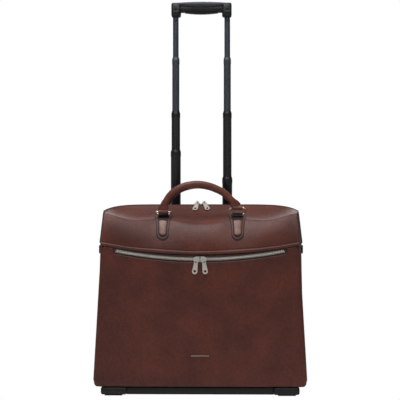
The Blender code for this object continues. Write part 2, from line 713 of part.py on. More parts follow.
def grip(plastic, dark, steel):
    """The pull handle's grip: a base with the tube sockets, a cover, a squeeze bar and two rivets."""
    w, split = GRIP_HALF_WIDTH, GRIP_SPLIT
    under = [(-w, split - GAP), (-w, GRIP_BOTTOM), (-0.0450, GRIP_BOTTOM), (-0.0420, 0.8010)]
    outline = under + [(-x, z) for x, z in reversed(under)]
    bm = bmesh.new()
    add_prism(bm, outline, TUBE_Y - GRIP_HALF_DEPTH, TUBE_Y + GRIP_HALF_DEPTH)
    base = bevel(finish("grip_base", bm, plastic), 0.0022)
    tube_holes(base, GRIP_BOTTOM - 0.01, GRIP_BOTTOM + 0.0155, TUBE_RADII["stage1"] + 0.0004, "socket")
    slot = bmesh.new()
    add_box(slot, (-0.0365, TUBE_Y - 0.0075, 0.790), (0.0365, TUBE_Y + 0.0075, 0.8095))
    boolean(base, [finish("squeeze_bar_slot", slot, None)])
    across = [w * math.cos(math.radians(a)) for a in range(0, 181, 20)]
    top = [(x, GRIP_TOP - 0.0032 * (x / w) ** 2) for x in across]
    bm = bmesh.new()
    add_prism(bm, [(w, split), *top, (-w, split)], TUBE_Y - GRIP_HALF_DEPTH, TUBE_Y + GRIP_HALF_DEPTH)
    bevel(finish("grip_cover", bm, plastic), 0.0040, 3, 50)
    lens = [(0.036 * math.cos(math.radians(a)), 0.8010 - 0.0024 * math.sin(math.radians(a))) for a in range(0, 181, 30)]
    bm = bmesh.new()
    add_prism(bm, [(-0.036, 0.8058), (0.036, 0.8058), *lens], TUBE_Y - 0.0070, TUBE_Y + 0.0070)
    finish("release_squeeze_bar", bm, dark)
    front = TUBE_Y - GRIP_HALF_DEPTH
    for side, label in ((-1, "left"), (1, "right")):
        centre = (side * TUBE_X, front + 0.0018, 0.8070)
        hole = cylinder(f"rivet_hole_{label}", centre, 0.0027, 0.0050, "Y", None)
        boolean(base, [hole])
        cylinder(f"grip_rivet_{label}", centre, 0.0023, 0.0036, "Y", steel)


# ---- base and wheels ---------------------------------------------------------------------------
def wheels(plastic, rubber, steel):
    x, y, z = WHEEL_CENTRE
    for side, label in ((-1, "left"), (1, "right")):
        centre = Vector((side * x, y, z))
        low, high = Vector(HOUSING_LOW), Vector(HOUSING_HIGH)
        spans = sorted((side * low.x, side * high.x))
        housing = box(f"wheel_housing_{label}", (spans[0], low.y, low.z), (spans[1], high.y, high.z), plastic, 0.0035)
        well = cylinder(f"well_{label}", centre, WELL_RADIUS, 2 * WELL_HALF_WIDTH, "X", None, 24)
        trough = bmesh.new()
        add_box(trough, (centre.x - WELL_HALF_WIDTH, y - WELL_RADIUS, -0.01), (centre.x + WELL_HALF_WIDTH, y + 0.05, z))
        bore = cylinder(f"axle_bore_{label}", centre, AXLE_RADIUS + 0.0003, 0.038, "X", None)
        boolean(housing, [well, finish(f"trough_{label}", trough, None), bore])
        cylinder(f"axle_{label}", centre, AXLE_RADIUS, 0.036, "X", steel, origin=centre)
        angles = [2 * math.pi * k / 24 for k in range(24)]
        half = WHEEL_HALF_WIDTH
        hub = ((AXLE_RADIUS + 0.0003, -half), (HUB_RADIUS, -half), (HUB_RADIUS, half), (AXLE_RADIUS + 0.0003, half))
        tread = WHEEL_RADIUS
        tyre = ((HUB_RADIUS + GAP, -half), (tread - 0.002, -half), (tread, -half + 0.003))
        tyre += ((tread, half - 0.003), (tread - 0.002, half), (HUB_RADIUS + GAP, half))
        for name, profile, finish_material in (("wheel_hub", hub, plastic), ("wheel_tyre", tyre, rubber)):
            loops = [
                [centre + Vector((across, r * math.cos(a), r * math.sin(a))) for a in angles] for r, across in profile
            ]
            bm = bmesh.new()
            add_loft(bm, loops, closed=True)
            finish(f"{name}_{label}", bm, finish_material, origin=centre)


def feet(plastic, rubber):
    """A moulded bar under the front edge, broad at its ends, on two rubber pads."""
    half, bar, block = 0.2005, 0.146, 0.152
    front, set_back, rear = FRONT_Y + 0.002, FRONT_Y + 0.006, FRONT_Y + 0.034
    plan = [(-half, front), (-block, front), (-bar, set_back), (bar, set_back), (block, front), (half, front)]
    plan += [(half, rear), (block, rear), (bar, rear - 0.008), (-bar, rear - 0.008), (-block, rear), (-half, rear)]
    bm = bmesh.new()
    add_prism(bm, plan, 0.0023, BODY_BOTTOM - GAP, "Z")
    bevel(finish("front_foot_bar", bm, plastic), 0.0030)
    for side, label in ((-1, "left"), (1, "right")):
        low, high = sorted((side * 0.157, side * 0.193))
        box(f"foot_pad_{label}", (low, front + 0.005, 0), (high, rear - 0.005, 0.0020), rubber)


def inner_boards(board, padding):
    """The stiff base board, clear of the wheel housings, and the padded divider that stands on it."""
    inner = half_width(WIDEST_Z) - WALL - 0.004
    front, rear = SHELL_FRONT_Y + WALL + GAP, REAR_Y - WALL - GAP
    notch_x, notch_y = HOUSING_LOW[0] - WALL - 3 * GAP, HOUSING_LOW[1] - WALL - 3 * GAP
    plan = [(-inner, front), (inner, front), (inner, notch_y), (notch_x, notch_y), (notch_x, rear)]
    plan += [(-notch_x, rear), (-notch_x, notch_y), (-inner, notch_y)]
    low = BODY_BOTTOM + WALL + GAP
    bm = bmesh.new()
    add_prism(bm, plan, low, low + 0.003, "Z")
    finish("base_board", bm, board)
    box("padded_divider", (-0.190, 0.018, 0.0247), (0.190, 0.026, 0.250), padding, 0.002)


def badge(metal):
    """A small blank metal bar low on the front."""
    box("front_badge", (-0.018, FRONT_Y - GAP - 0.0010, 0.0800), (0.018, FRONT_Y - GAP, 0.0830), metal)


def build():
    clear_scene()
    leather = material("brown leather", (0.095, 0.030, 0.021), 0.45)
    zip_metal = material("nickel", (0.55, 0.53, 0.48), 0.3, 1.0)
    steel = material("black tube", (0.025, 0.025, 0.028), 0.35, 0.4)
    plastic = material("black plastic", (0.03, 0.03, 0.03), 0.5)
    rubber = material("rubber", (0.015, 0.015, 0.015), 0.8)
    board = material("board", (0.05, 0.045, 0.04), 0.8)
    padding = material("padding", (0.04, 0.035, 0.03), 0.9)

    case_shell(leather)
    top_panel("front_top_panel", front_top, -(ZIP_HALF + GAP), leather)
    rear = top_panel("rear_top_panel", rear_top, ZIP_HALF + GAP, leather)
    tube_holes(rear, 0.33, 0.37, TUBE_BORE + 0.0004, "ledge_hole")
    front_pocket_panel(leather)
    front_zip(zip_metal)
    top_zip(zip_metal)
    badge(zip_metal)
    for side, label in ((-1, "left"), (1, "right")):
        zip_end_tab(side, label, leather)
        for kind in ("top", "front"):
            zip_slider(kind, side, label, zip_metal)
            zip_pull(kind, side, label, zip_metal)
        for kind in ("front", "rear"):
            handle_tab(kind, side, label, leather)
            handle_ring(kind, side, label, zip_metal)
    for kind in ("front", "rear"):
        carry_handle(kind, leather)
    pull_handle_tubes(steel)
    tube_mounts(plastic, board)
    grip(plastic, steel, zip_metal)
    wheels(plastic, rubber, zip_metal)
    feet(plastic, rubber)
    inner_boards(board, padding)


build()
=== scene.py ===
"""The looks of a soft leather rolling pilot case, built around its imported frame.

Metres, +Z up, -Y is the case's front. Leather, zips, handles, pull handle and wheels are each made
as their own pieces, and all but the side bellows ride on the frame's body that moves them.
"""

import json
import math

import bmesh
import bpy
from mathutils import Matrix, Vector, noise


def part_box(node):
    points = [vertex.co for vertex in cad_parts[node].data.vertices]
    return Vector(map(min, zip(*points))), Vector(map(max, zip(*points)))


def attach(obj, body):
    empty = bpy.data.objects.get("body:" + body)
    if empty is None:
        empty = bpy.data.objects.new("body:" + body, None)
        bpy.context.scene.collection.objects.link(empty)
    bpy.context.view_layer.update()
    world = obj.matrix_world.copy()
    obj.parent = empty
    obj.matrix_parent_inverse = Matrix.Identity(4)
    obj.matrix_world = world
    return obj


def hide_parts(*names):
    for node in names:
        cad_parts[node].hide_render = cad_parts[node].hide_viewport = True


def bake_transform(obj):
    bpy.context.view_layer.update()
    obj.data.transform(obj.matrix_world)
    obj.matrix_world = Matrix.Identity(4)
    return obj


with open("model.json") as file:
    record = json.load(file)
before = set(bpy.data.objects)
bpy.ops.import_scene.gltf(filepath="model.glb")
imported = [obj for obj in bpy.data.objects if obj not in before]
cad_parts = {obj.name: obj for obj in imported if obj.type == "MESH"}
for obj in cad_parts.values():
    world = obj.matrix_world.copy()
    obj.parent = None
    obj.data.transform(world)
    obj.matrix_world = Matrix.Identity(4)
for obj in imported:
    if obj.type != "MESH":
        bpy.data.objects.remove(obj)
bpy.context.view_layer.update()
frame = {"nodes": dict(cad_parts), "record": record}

# ---- the case's own sizes, read from its frame ----------------------------------------------------
SIDES = ((-1, "left"), (1, "right"))
SHELL_LOW, SHELL_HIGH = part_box("case_shell")
ROOF_LOW, ROOF_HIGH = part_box("front_top_panel")
ZIP_LOW, ZIP_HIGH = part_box("front_zip")
HOUSINGS = {label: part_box(f"wheel_housing_{label}") for _, label in SIDES}

FRONT_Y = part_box("front_pocket_panel")[0].y
REAR_Y = SHELL_HIGH.y
BOTTOM_Z = SHELL_LOW.z
SPLIT_Z = SHELL_HIGH.z  # the rim where the soft top begins
WIDEST_Z = 0.030
BASE_HALF = SHELL_HIGH.x + 0.0014  # the hide swells a little over its board
SEAM_HALF = 0.200  # half width at the rim
EAR_HALF = 0.2028  # half width at the ears, where the ridge ends
SEAM_LOW_Z = ROOF_LOW.z - 0.0006  # the hem hangs down to here in the middle of the front
RIDGE_Z = ROOF_HIGH.z
EAR_Z = RIDGE_Z - 0.012  # the ridge droops this far towards each ear
REAR_LEDGE_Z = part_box("tube_bezel")[0].z - 0.0003  # the bezel sits on this ledge
MAIN_ZIP_FOOT_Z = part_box("top_zip")[0].z
MAIN_ZIP_EDGE_Y = -ROOF_HIGH.y  # the main zip's slot is this far to each side of the middle

LEATHER = 0.0020
POCKET_WRAP_Y = FRONT_Y + 0.015  # the pocket's leather runs this far round each corner
ZIP_HALF_LENGTH = ZIP_HIGH.x
ZIP_LIP = 0.0062  # from the middle of the teeth down to the pocket's lip
ZIP_SAG = 0.0166  # the pocket zip's smile, from its ends down to its middle
ZIP_LOW_Z = ZIP_LOW.z + 0.0060
ZIP_RADIUS = (ZIP_HALF_LENGTH**2 + ZIP_SAG**2) / (2 * ZIP_SAG)


# ---- making nodes and materials ---------------------------------------------------------------------
def hex_colour(code):
    """An sRGB hex colour as linear RGBA."""
    parts = [int(code[i : i + 2], 16) / 255 for i in (0, 2, 4)]
    return (*(c / 12.92 if c <= 0.04045 else ((c + 0.055) / 1.055) ** 2.4 for c in parts), 1)


def per_mm(size):
    """The scale of a pattern that repeats about every so many millimetres."""
    return 1000 / size


def add_node(tree, kind, links=(), **settings):
    """Adds a node. links maps sockets to a value or to another node's output."""
    node = tree.nodes.new(kind)
    for name, value in settings.items():
        setattr(node, name, value)
    for socket, value in dict(links).items():
        if isinstance(value, bpy.types.NodeSocket):
            tree.links.new(value, node.inputs[socket])
        else:
            node.inputs[socket].default_value = value
    return node


def new_finish(name):
    """A new material with its shader and a place to read patterns from."""
    made = bpy.data.materials.new(name)
    made.use_nodes = True
    tree = made.node_tree
    shader = tree.nodes["Principled BSDF"]
    place = add_node(tree, "ShaderNodeTexCoord").outputs["Object"]
    return made, tree, shader, place


def ramp(tree, factor, stops):
    """Colours along a pattern: each stop is a position and a linear colour."""
    node = add_node(tree, "ShaderNodeValToRGB", {"Fac": factor})
    elements = node.color_ramp.elements
    while len(elements) < len(stops):
        elements.new(0.5)
    for element, (position, colour) in zip(elements, stops):
        element.position = position
        element.color = colour if len(colour) == 4 else (*colour, 1)
    return node.outputs["Color"]


def cowhide(name, light, dark, grain_mm=2.2, gloss=0.40):
    """Drum-dyed cowhide, plated with a small pebble grain and lightly waxed.

    The grain breaks the sheen into fine specks, and the hollows between its pebbles are darkened with
    painted shade. The hide's own cloudy tone shows in its colour, and a few soft creases in its relief.
    Real grain is nearer 1 mm, and is drawn coarser here so that it shows.
    """
    made, tree, shader, place = new_finish(name)
    warp = add_node(tree, "ShaderNodeTexNoise", {"Vector": place, "Scale": per_mm(11.1), "Detail": 2.0})
    bent = add_node(
        tree,
        "ShaderNodeVectorMath",
        {0: warp.outputs["Color"], 1: (0.0016, 0.0016, 0.0016), 2: place},
        operation="MULTIPLY_ADD",
    )
    pebbles = add_node(
        tree,
        "ShaderNodeTexVoronoi",
        {"Vector": bent.outputs[0], "Scale": per_mm(grain_mm), "Randomness": 0.8},
        feature="F1",
    )
    cloud = add_node(
        tree, "ShaderNodeTexNoise", {"Vector": place, "Scale": per_mm(71.4), "Detail": 3.0, "Roughness": 0.55}
    )
    mottle = add_node(
        tree, "ShaderNodeTexNoise", {"Vector": place, "Scale": per_mm(7.69), "Detail": 3.0, "Roughness": 0.6}
    )
    creases = add_node(
        tree,
        "ShaderNodeTexNoise",
        {"Vector": place, "Scale": per_mm(25), "Detail": 5.0, "Roughness": 0.6, "Distortion": 1.0},
    )
    tone = add_node(
        tree,
        "ShaderNodeMath",
        {0: mottle.outputs["Fac"], 1: 0.45, 2: cloud.outputs["Fac"]},
        operation="MULTIPLY_ADD",
    )
    hide = ramp(tree, tone.outputs[0], ((0.54, hex_colour(dark)), (0.90, hex_colour(light))))
    # painted shade: the colour is darkened where the grain sinks between its pebbles, and below that this is
    # multiplied into the hide's tone
    valley_painted_shade = ramp(tree, pebbles.outputs["Distance"], ((0.30, (1, 1, 1)), (0.85, (0.74, 0.71, 0.70))))
    dyed = add_node(
        tree, "ShaderNodeMix", {"Factor": 1.0, 6: hide, 7: valley_painted_shade}, data_type="RGBA", blend_type="MULTIPLY"
    )
    tree.links.new(dyed.outputs[2], shader.inputs["Base Color"])
    sheen = add_node(
        tree,
        "ShaderNodeMapRange",
        {"Value": pebbles.outputs["Distance"], "To Min": gloss, "To Max": gloss + 0.25},
    )
    tree.links.new(sheen.outputs["Result"], shader.inputs["Roughness"])
    shader.inputs["IOR"].default_value = 1.45
    shader.inputs["Specular IOR Level"].default_value = 0.36
    pressed = add_node(
        tree,
        "ShaderNodeBump",
        {"Strength": 0.7, "Distance": 0.00016, "Height": pebbles.outputs["Distance"]},
        invert=True,
    )
    folded = add_node(
        tree,
        "ShaderNodeBump",
        {
            "Strength": 0.4,
            "Distance": 0.0007,
            "Height": creases.outputs["Fac"],
            "Normal": pressed.outputs["Normal"],
        },
    )
    tree.links.new(folded.outputs["Normal"], shader.inputs["Normal"])
    return made


def plated(name, colour, roughness):
    """Zinc casting or brass wire with satin nickel plate: a warm grey mirror, softened by handling."""
    made, tree, shader, place = new_finish(name)
    shader.inputs["Metallic"].default_value = 1.0
    wear = add_node(tree, "ShaderNodeTexNoise", {"Vector": place, "Scale": per_mm(1.11), "Detail": 3.0})
    tint = ramp(tree, wear.outputs["Fac"], ((0.3, hex_colour(colour[0])), (0.75, hex_colour(colour[1]))))
    tree.links.new(tint, shader.inputs["Base Color"])
    rub = add_node(
        tree,
        "ShaderNodeMapRange",
        {"Value": wear.outputs["Fac"], "To Min": roughness - 0.06, "To Max": roughness + 0.1},
    )
    tree.links.new(rub.outputs["Result"], shader.inputs["Roughness"])
    return made


def anodised(name, colour):
    """Drawn aluminium tube, anodised: dark and satin, with faint draw lines along it."""
    made, tree, shader, place = new_finish(name)
    drawn = add_node(tree, "ShaderNodeMapping", {"Vector": place, "Scale": (1.0, 1.0, 0.02)})
    lines = add_node(
        tree, "ShaderNodeTexNoise", {"Vector": drawn.outputs["Vector"], "Scale": per_mm(0.714), "Detail": 2.0}
    )
    tint = ramp(tree, lines.outputs["Fac"], ((0.3, hex_colour(colour[0])), (0.7, hex_colour(colour[1]))))
    tree.links.new(tint, shader.inputs["Base Color"])
    shader.inputs["Metallic"].default_value = 0.35
    satin = add_node(tree, "ShaderNodeMapRange", {"Value": lines.outputs["Fac"], "To Min": 0.3, "To Max": 0.42})
    tree.links.new(satin.outputs["Result"], shader.inputs["Roughness"])
    scratch = add_node(
        tree, "ShaderNodeBump", {"Strength": 0.15, "Distance": 0.00004, "Height": lines.outputs["Fac"]}
    )
    tree.links.new(scratch.outputs["Normal"], shader.inputs["Normal"])
    return made


def moulded(name, colour, roughness=0.46):
    """ABS moulded in a spark-textured tool: a fine dull stipple over near-black plastic, scuffed in places."""
    made, tree, shader, place = new_finish(name)
    stipple = add_node(tree, "ShaderNodeTexNoise", {"Vector": place, "Scale": per_mm(0.8), "Detail": 2.0})
    scuff = add_node(tree, "ShaderNodeTexNoise", {"Vector": place, "Scale": per_mm(18.2), "Detail": 4.0})
    tint = ramp(tree, scuff.outputs["Fac"], ((0.35, hex_colour(colour[0])), (0.7, hex_colour(colour[1]))))
    tree.links.new(tint, shader.inputs["Base Color"])
    dull = add_node(
        tree,
        "ShaderNodeMapRange",
        {"Value": scuff.outputs["Fac"], "To Min": roughness - 0.05, "To Max": roughness + 0.12},
    )
    tree.links.new(dull.outputs["Result"], shader.inputs["Roughness"])
    shader.inputs["IOR"].default_value = 1.53
    shader.inputs["Specular IOR Level"].default_value = 0.28
    texture = add_node(
        tree, "ShaderNodeBump", {"Strength": 0.3, "Distance": 0.00006, "Height": stipple.outputs["Fac"]}
    )
    tree.links.new(texture.outputs["Normal"], shader.inputs["Normal"])
    return made


def woven(name, colour, rib_mm, roughness=0.85):
    """Yarn in crossed ribs, which catch a little light on their crowns."""
    made, tree, shader, place = new_finish(name)
    scale = per_mm(rib_mm) * math.pi / 10  # a wave pattern repeats ten times in pi of its own units
    waves = [
        add_node(
            tree,
            "ShaderNodeTexWave",
            {"Vector": place, "Scale": scale, "Distortion": 0.4, "Detail": 1.0},
            bands_direction=direction,
        ).outputs["Fac"]
        for direction in ("X", "Z")
    ]
    cross = add_node(tree, "ShaderNodeMath", {0: waves[0], 1: waves[1]}, operation="MULTIPLY").outputs[0]
    tint = ramp(tree, cross, ((0.0, hex_colour(colour[0])), (0.8, hex_colour(colour[1]))))
    tree.links.new(tint, shader.inputs["Base Color"])
    shader.inputs["Roughness"].default_value = roughness
    shader.inputs["Sheen Weight"].default_value = 0.15
    ribs = add_node(tree, "ShaderNodeBump", {"Strength": 0.5, "Distance": 0.0001, "Height": cross})
    tree.links.new(ribs.outputs["Normal"], shader.inputs["Normal"])
    return made


def moulded_rubber(name, colour):
    """Moulded rubber: matt, with a powdery bloom in its hollows."""
    made, tree, shader, place = new_finish(name)
    bloom = add_node(
        tree, "ShaderNodeTexNoise", {"Vector": place, "Scale": per_mm(4.55), "Detail": 5.0, "Roughness": 0.7}
    )
    tint = ramp(tree, bloom.outputs["Fac"], ((0.35, hex_colour(colour[0])), (0.75, hex_colour(colour[1]))))
    tree.links.new(tint, shader.inputs["Base Color"])
    shader.inputs["Roughness"].default_value = 0.8
    grit = add_node(
        tree, "ShaderNodeBump", {"Strength": 0.3, "Distance": 0.0001, "Height": bloom.outputs["Fac"]}
    )
    tree.links.new(grit.outputs["Normal"], shader.inputs["Normal"])
    return made


# the case's own leather: deep chestnut with a low, even sheen
HIDE = cowhide("cowhide_pebble_plated", "5B291D", "451E16")
# thinner hide pulled tight round a cord: a lighter brown, glossier along its crown
HANDLE_HIDE = cowhide("cowhide_rolled_handle", "6C382C", "4E271E", grain_mm=1.5, gloss=0.36)
# the tabs' tongues and folds: paler, as a painted highlight from the overhead light, and the shiniest leather
# on the case
TAB_HIDE_PAINTED_HIGHLIGHT = cowhide("cowhide_padded_tab", "7E5A50", "674339", grain_mm=1.5, gloss=0.28)
# cut edges sealed with edge paint: near black and dull, which outlines each tab; the same hide also lies as
# painted shade in the recess under each ring's fold and as a painted shadow below each tab
EDGE_PAINT_AND_SHADE_HIDE = cowhide("cowhide_edge_paint_and_painted_shade", "22100D", "180B09", grain_mm=1.5, gloss=0.58)
# rings, sliders, pulls and screws: a soft bright grey that mirrors the room
NICKEL = plated("zinc_satin_nickel_plate", ("D6D1C4", "F2EEE4"), 0.32)
# a plate gone dull: a brownish grey that hardly shines
WORN_NICKEL = plated("brass_badge_dull_nickel", ("8E867C", "A69E93"), 0.4)
# small cast teeth: pale and satin, so the chain shows as one light line
TEETH = plated("brass_teeth_nickel_plate", ("D8D4CC", "F4F0E8"), 0.5)
# the wide stages: near black, with one narrow highlight down each
ANODISED = anodised("aluminium_black_anodised", ("17181A", "222326"))
# the narrow upper stages: a cooler and lighter grey
ANODISED_SLIM = anodised("aluminium_grey_anodised", ("34373D", "484C54"))
# foot bar, wheel housings, grip core and collars: flat near-black
ABS = moulded("abs_spark_textured", ("0E0E0E", "161616"))
# the grip's cover: charcoal, a step lighter than its core
ABS_GREY = moulded("abs_grip_cover", ("282B2C", "323637"), 0.42)
# the main zip's tape: almost black, faintly ribbed
TAPE = woven("polyester_zip_tape", ("17110E", "2A211C"), 0.754)
# the pocket zip's tape, dyed close to the leather
TAPE_BROWN = woven("polyester_zip_tape_brown", ("32221B", "4A352B"), 0.754)
# the inside: dark and matt, so the open mouth looks deep
LINING = woven("polyester_lining_twill", ("1C1714", "2E2722"), 1.005, 0.7)
# waxed thread lighter than the hide, so that the stitches show as a fine line
THREAD = woven("waxed_linen_thread", ("3A2019", "6A4234"), 0.377, 0.55)
# thread dyed to match: the stitches show only by their relief
HEM_THREAD = woven("polyester_thread_to_match", ("3C1E16", "4C2A20"), 0.377, 0.6)
# tyres and pads: the dullest black on the case
RUBBER = moulded_rubber("rubber_moulded", ("121212", "1F1F1F"))


# ---- making pieces ----------------------------------------------------------------------------------
def shade(mesh, angle):
    """Smooth shading, but for edges sharper than an angle in degrees."""
    mesh.shade_smooth()
    mesh.set_sharp_from_angle(angle=math.radians(angle))


def piece(name, bm, finish, body=None, replaces=(), recalc=True, angle=38):
    """Makes a bmesh a finished object at the origin, riding on its body."""
    bmesh.ops.remove_doubles(bm, verts=bm.verts, dist=2e-6)
    if recalc:
        bmesh.ops.recalc_face_normals(bm, faces=bm.faces)
    mesh = bpy.data.meshes.new(name)
    bm.to_mesh(mesh)
    bm.free()
    shade(mesh, angle)
    obj = bpy.data.objects.new(name, mesh)
    bpy.context.scene.collection.objects.link(obj)
    mesh.materials.append(finish)
    if replaces:
        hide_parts(*replaces)
    if body:
        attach(obj, body)
    return obj


def ease_edges(obj, width, angle=30):
    """Rounds the edges that are sharper than an angle in degrees."""
    edge = obj.modifiers.new("edge", "BEVEL")
    edge.width = width
    edge.segments = 2
    edge.limit_method = "ANGLE"
    edge.angle_limit = math.radians(angle)


def thick(obj, depth, round_edge=0):
    """Gives a sheet its thickness, inwards, and may round its cut edges."""
    wall = obj.modifiers.new("thickness", "SOLIDIFY")
    wall.thickness = depth
    wall.offset = -1
    if round_edge:
        ease_edges(obj, round_edge, 60)


def soften(obj):
    """One level of subdivision."""
    soft = obj.modifiers.new("soft", "SUBSURF")
    soft.levels = 1
    soft.render_levels = 1


def face_outwards(obj):
    """Turns an open sheet so that its outside faces away from the case's middle."""
    mesh = obj.data
    heart = Vector((0, 0.02, 0.2))
    outward = sum((face.center - heart).dot(face.normal) * face.area for face in mesh.polygons)
    if outward < 0:
        bm = bmesh.new()
        bm.from_mesh(mesh)
        bmesh.ops.reverse_faces(bm, faces=bm.faces)
        bm.to_mesh(mesh)
        bm.free()


def panel(name, bm, finish, body, depth, round_edge=0, replaces=()):
    """A sheet of leather or tape with its thickness, facing outwards and riding on its body."""
    made = piece(name, bm, finish, None, replaces)
    face_outwards(made)
    thick(made, depth, round_edge)
    if body:
        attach(made, body)
    return made


def bake(obj):
    """Applies an object's modifiers to its mesh."""
    bpy.context.view_layer.update()
    graph = bpy.context.evaluated_depsgraph_get()
    mesh = bpy.data.meshes.new_from_object(obj.evaluated_get(graph), depsgraph=graph)
    obj.modifiers.clear()
    obj.data = mesh


def cutter(bm):
    """Makes a bmesh a shape to carve with."""
    mesh = bpy.data.meshes.new("cutter")
    bmesh.ops.recalc_face_normals(bm, faces=bm.faces)
    bm.to_mesh(mesh)
    bm.free()
    obj = bpy.data.objects.new("cutter", mesh)
    bpy.context.scene.collection.objects.link(obj)
    return obj


def block_cutter(low, high):
    bm = bmesh.new()
    block(bm, low, high)
    return cutter(bm)


def drum_cutter(centre, radius, length, axis="Z", sides=32):
    bm = bmesh.new()
    drum(bm, centre, radius, length, axis, sides)
    return cutter(bm)


def carve(obj, cutters, angle=None):
    """Cuts shapes out of a piece, throws the shapes away, and may shade the piece again."""
    for shape in cutters:
        modifier = obj.modifiers.new("carve", "BOOLEAN")
        modifier.operation = "DIFFERENCE"
        modifier.solver = "EXACT"
        modifier.object = shape
    bake(obj)
    for shape in cutters:
        bpy.data.objects.remove(shape)
    if angle:
        shade(obj.data, angle)


def sheet(columns, rows, place):
    """A grid of leather or cloth: place(column, row) puts each of its points."""
    bm = bmesh.new()
    bmesh.ops.create_grid(bm, x_segments=columns, y_segments=rows, size=0.5)
    for vert in bm.verts:
        column = round((vert.co.x + 0.5) * columns)
        row = round((vert.co.y + 0.5) * rows)
        vert.co = place(column, row)
    return bm


def close_tube(bm, sides):
    """Joins a rolled-up sheet along its seam and fills both of its ends."""
    bmesh.ops.remove_doubles(bm, verts=bm.verts, dist=1e-6)
    bmesh.ops.holes_fill(bm, edges=[edge for edge in bm.edges if edge.is_boundary], sides=sides + 1)


def block(bm, low, high):
    low, high = Vector(low), Vector(high)
    place = Matrix.Translation((low + high) / 2) @ Matrix.Diagonal((*(high - low), 1))
    bmesh.ops.create_cube(bm, size=1, matrix=place)


def rounded_block(low, high, width, segments=3):
    """A block with all of its edges rounded."""
    bm = bmesh.new()
    block(bm, low, high)
    bmesh.ops.bevel(
        bm,
        geom=bm.edges[:],
        offset=width,
        segments=segments,
        profile=0.5,
        affect="EDGES",
        material=-1,
        clamp_overlap=True,
    )
    return bm


def drum(bm, centre, radius, length, axis="Z", sides=32, radius2=None):
    """A short cylinder, or a cone where its second radius differs."""
    turns = {"X": Matrix.Rotation(math.pi / 2, 4, "Y"), "Y": Matrix.Rotation(math.pi / 2, 4, "X")}
    bmesh.ops.create_cone(
        bm,
        cap_ends=True,
        segments=sides,
        radius1=radius,
        radius2=radius if radius2 is None else radius2,
        depth=length,
        matrix=Matrix.Translation(centre) @ turns.get(axis, Matrix()),
    )


def turned(profile, centre, axis="Z", steps=48):
    """Spins a closed outline of (radius, distance along the axis) pairs about an axis."""
    bm = bmesh.new()
    verts = []
    for radius, along in profile:
        spot = {"Z": (radius, 0, along), "X": (along, 0, radius), "Y": (radius, along, 0)}[axis]
        verts.append(bm.verts.new(Vector(centre) + Vector(spot)))
    edges = [bm.edges.new((a, b)) for a, b in zip(verts, verts[1:] + verts[:1])]
    line = {"X": (1, 0, 0), "Y": (0, 1, 0), "Z": (0, 0, 1)}[axis]
    bmesh.ops.spin(
        bm,
        geom=verts + edges,
        cent=centre,
        axis=line,
        angle=2 * math.pi,
        steps=steps,
        use_merge=True,
        use_duplicate=False,
    )
    return bm


def swept(path, section, closed, across, sides):
    """Pulls a round or flat section along a path. section(i) gives its two half sizes."""
    bm = bmesh.new()
    count = len(path)
    first = bmesh.ops.create_circle(bm, cap_ends=False, segments=sides, radius=1)["verts"]
    shape = [vert.co.copy() for vert in first]
    rings = [first]
    edges = list({edge for vert in first for edge in vert.link_edges})
    for _ in range(count - 1):
        made = bmesh.ops.extrude_edge_only(bm, edges=edges)["geom"]
        new = [item for item in made if isinstance(item, bmesh.types.BMVert)]
        edges = [
            item
            for item in made
            if isinstance(item, bmesh.types.BMEdge) and all(vert in new for vert in item.verts)
        ]
        before = rings[-1]
        order = {}  # each new point, by its neighbour's place in the ring before
        for vert in new:
            for edge in vert.link_edges:
                other = edge.other_vert(vert)
                if other in before:
                    order[before.index(other)] = vert
        rings.append([order[k] for k in range(sides)])
    for i, ring in enumerate(rings):
        before = path[(i - 1) % count] if closed or i else path[0]
        after = path[(i + 1) % count] if closed or i < count - 1 else path[-1]
        along = (after - before).normalized()
        side = (across - along * across.dot(along)).normalized()
        up = along.cross(side)
        tall, wide = section(i)
        for vert, local in zip(ring, shape):
            vert.co = path[i] + up * local.x * tall + side * local.y * wide
    if closed:
        bmesh.ops.bridge_loops(bm, edges=[edge for edge in bm.edges if edge.is_boundary])
    else:
        bmesh.ops.holes_fill(bm, edges=bm.edges, sides=sides)
    return bm


def run_lengths(points):
    """How far along a line each of its points lies."""
    runs = [0.0]
    for a, b in zip(points, points[1:]):
        runs.append(runs[-1] + (b - a).length)
    return runs


def spaced(points, pitch, outward):
    """Evenly spaced places along a line, each with its axes: along the line, sideways and out."""
    runs = run_lengths(points)
    count = max(2, int(runs[-1] / pitch))
    k = 0
    for n in range(count):
        along = (n + 0.5) * runs[-1] / count
        while k < len(points) - 2 and runs[k + 1] < along:
            k += 1
        spot = points[k].lerp(points[k + 1], (along - runs[k]) / (runs[k + 1] - runs[k]))
        line = (points[k + 1] - points[k]).normalized()
        out = outward(spot)
        out = (out - line * out.dot(line)).normalized()
        side = out.cross(line)
        turn = Matrix((line, side, out)).transposed().to_4x4()
        yield spot, side, out, turn


def stitches(name, points, outward, body, pitch=0.0034, radius=0.00038, finish=THREAD):
    """A row of sewn stitches along a line of points; outward(point) is the leather's own direction."""
    bm = bmesh.new()
    # each stitch dips a little at one end, as a saddle stitch does
    tilt = Matrix.Rotation(math.radians(6), 4, "Y") @ Matrix.Diagonal((pitch * 0.36, radius, radius, 1))
    for spot, _, out, turn in spaced(points, pitch, outward):
        seat = Matrix.Translation(spot + out * radius * 0.25)
        bmesh.ops.create_uvsphere(bm, u_segments=6, v_segments=4, radius=1, matrix=seat @ turn @ tilt)
    piece(name, bm, finish, body, recalc=False, angle=80)


# ---- the case's lines -------------------------------------------------------------------------------
def half_width(z):
    """Half width of the lower body: widest just above the base, narrowing to the rim."""
    if z < WIDEST_Z:
        return BASE_HALF - 0.004 * ((WIDEST_Z - z) / (WIDEST_Z - BOTTOM_Z)) ** 2
    return BASE_HALF + (SEAM_HALF - BASE_HALF) * (z - WIDEST_Z) / (SPLIT_Z - WIDEST_Z)


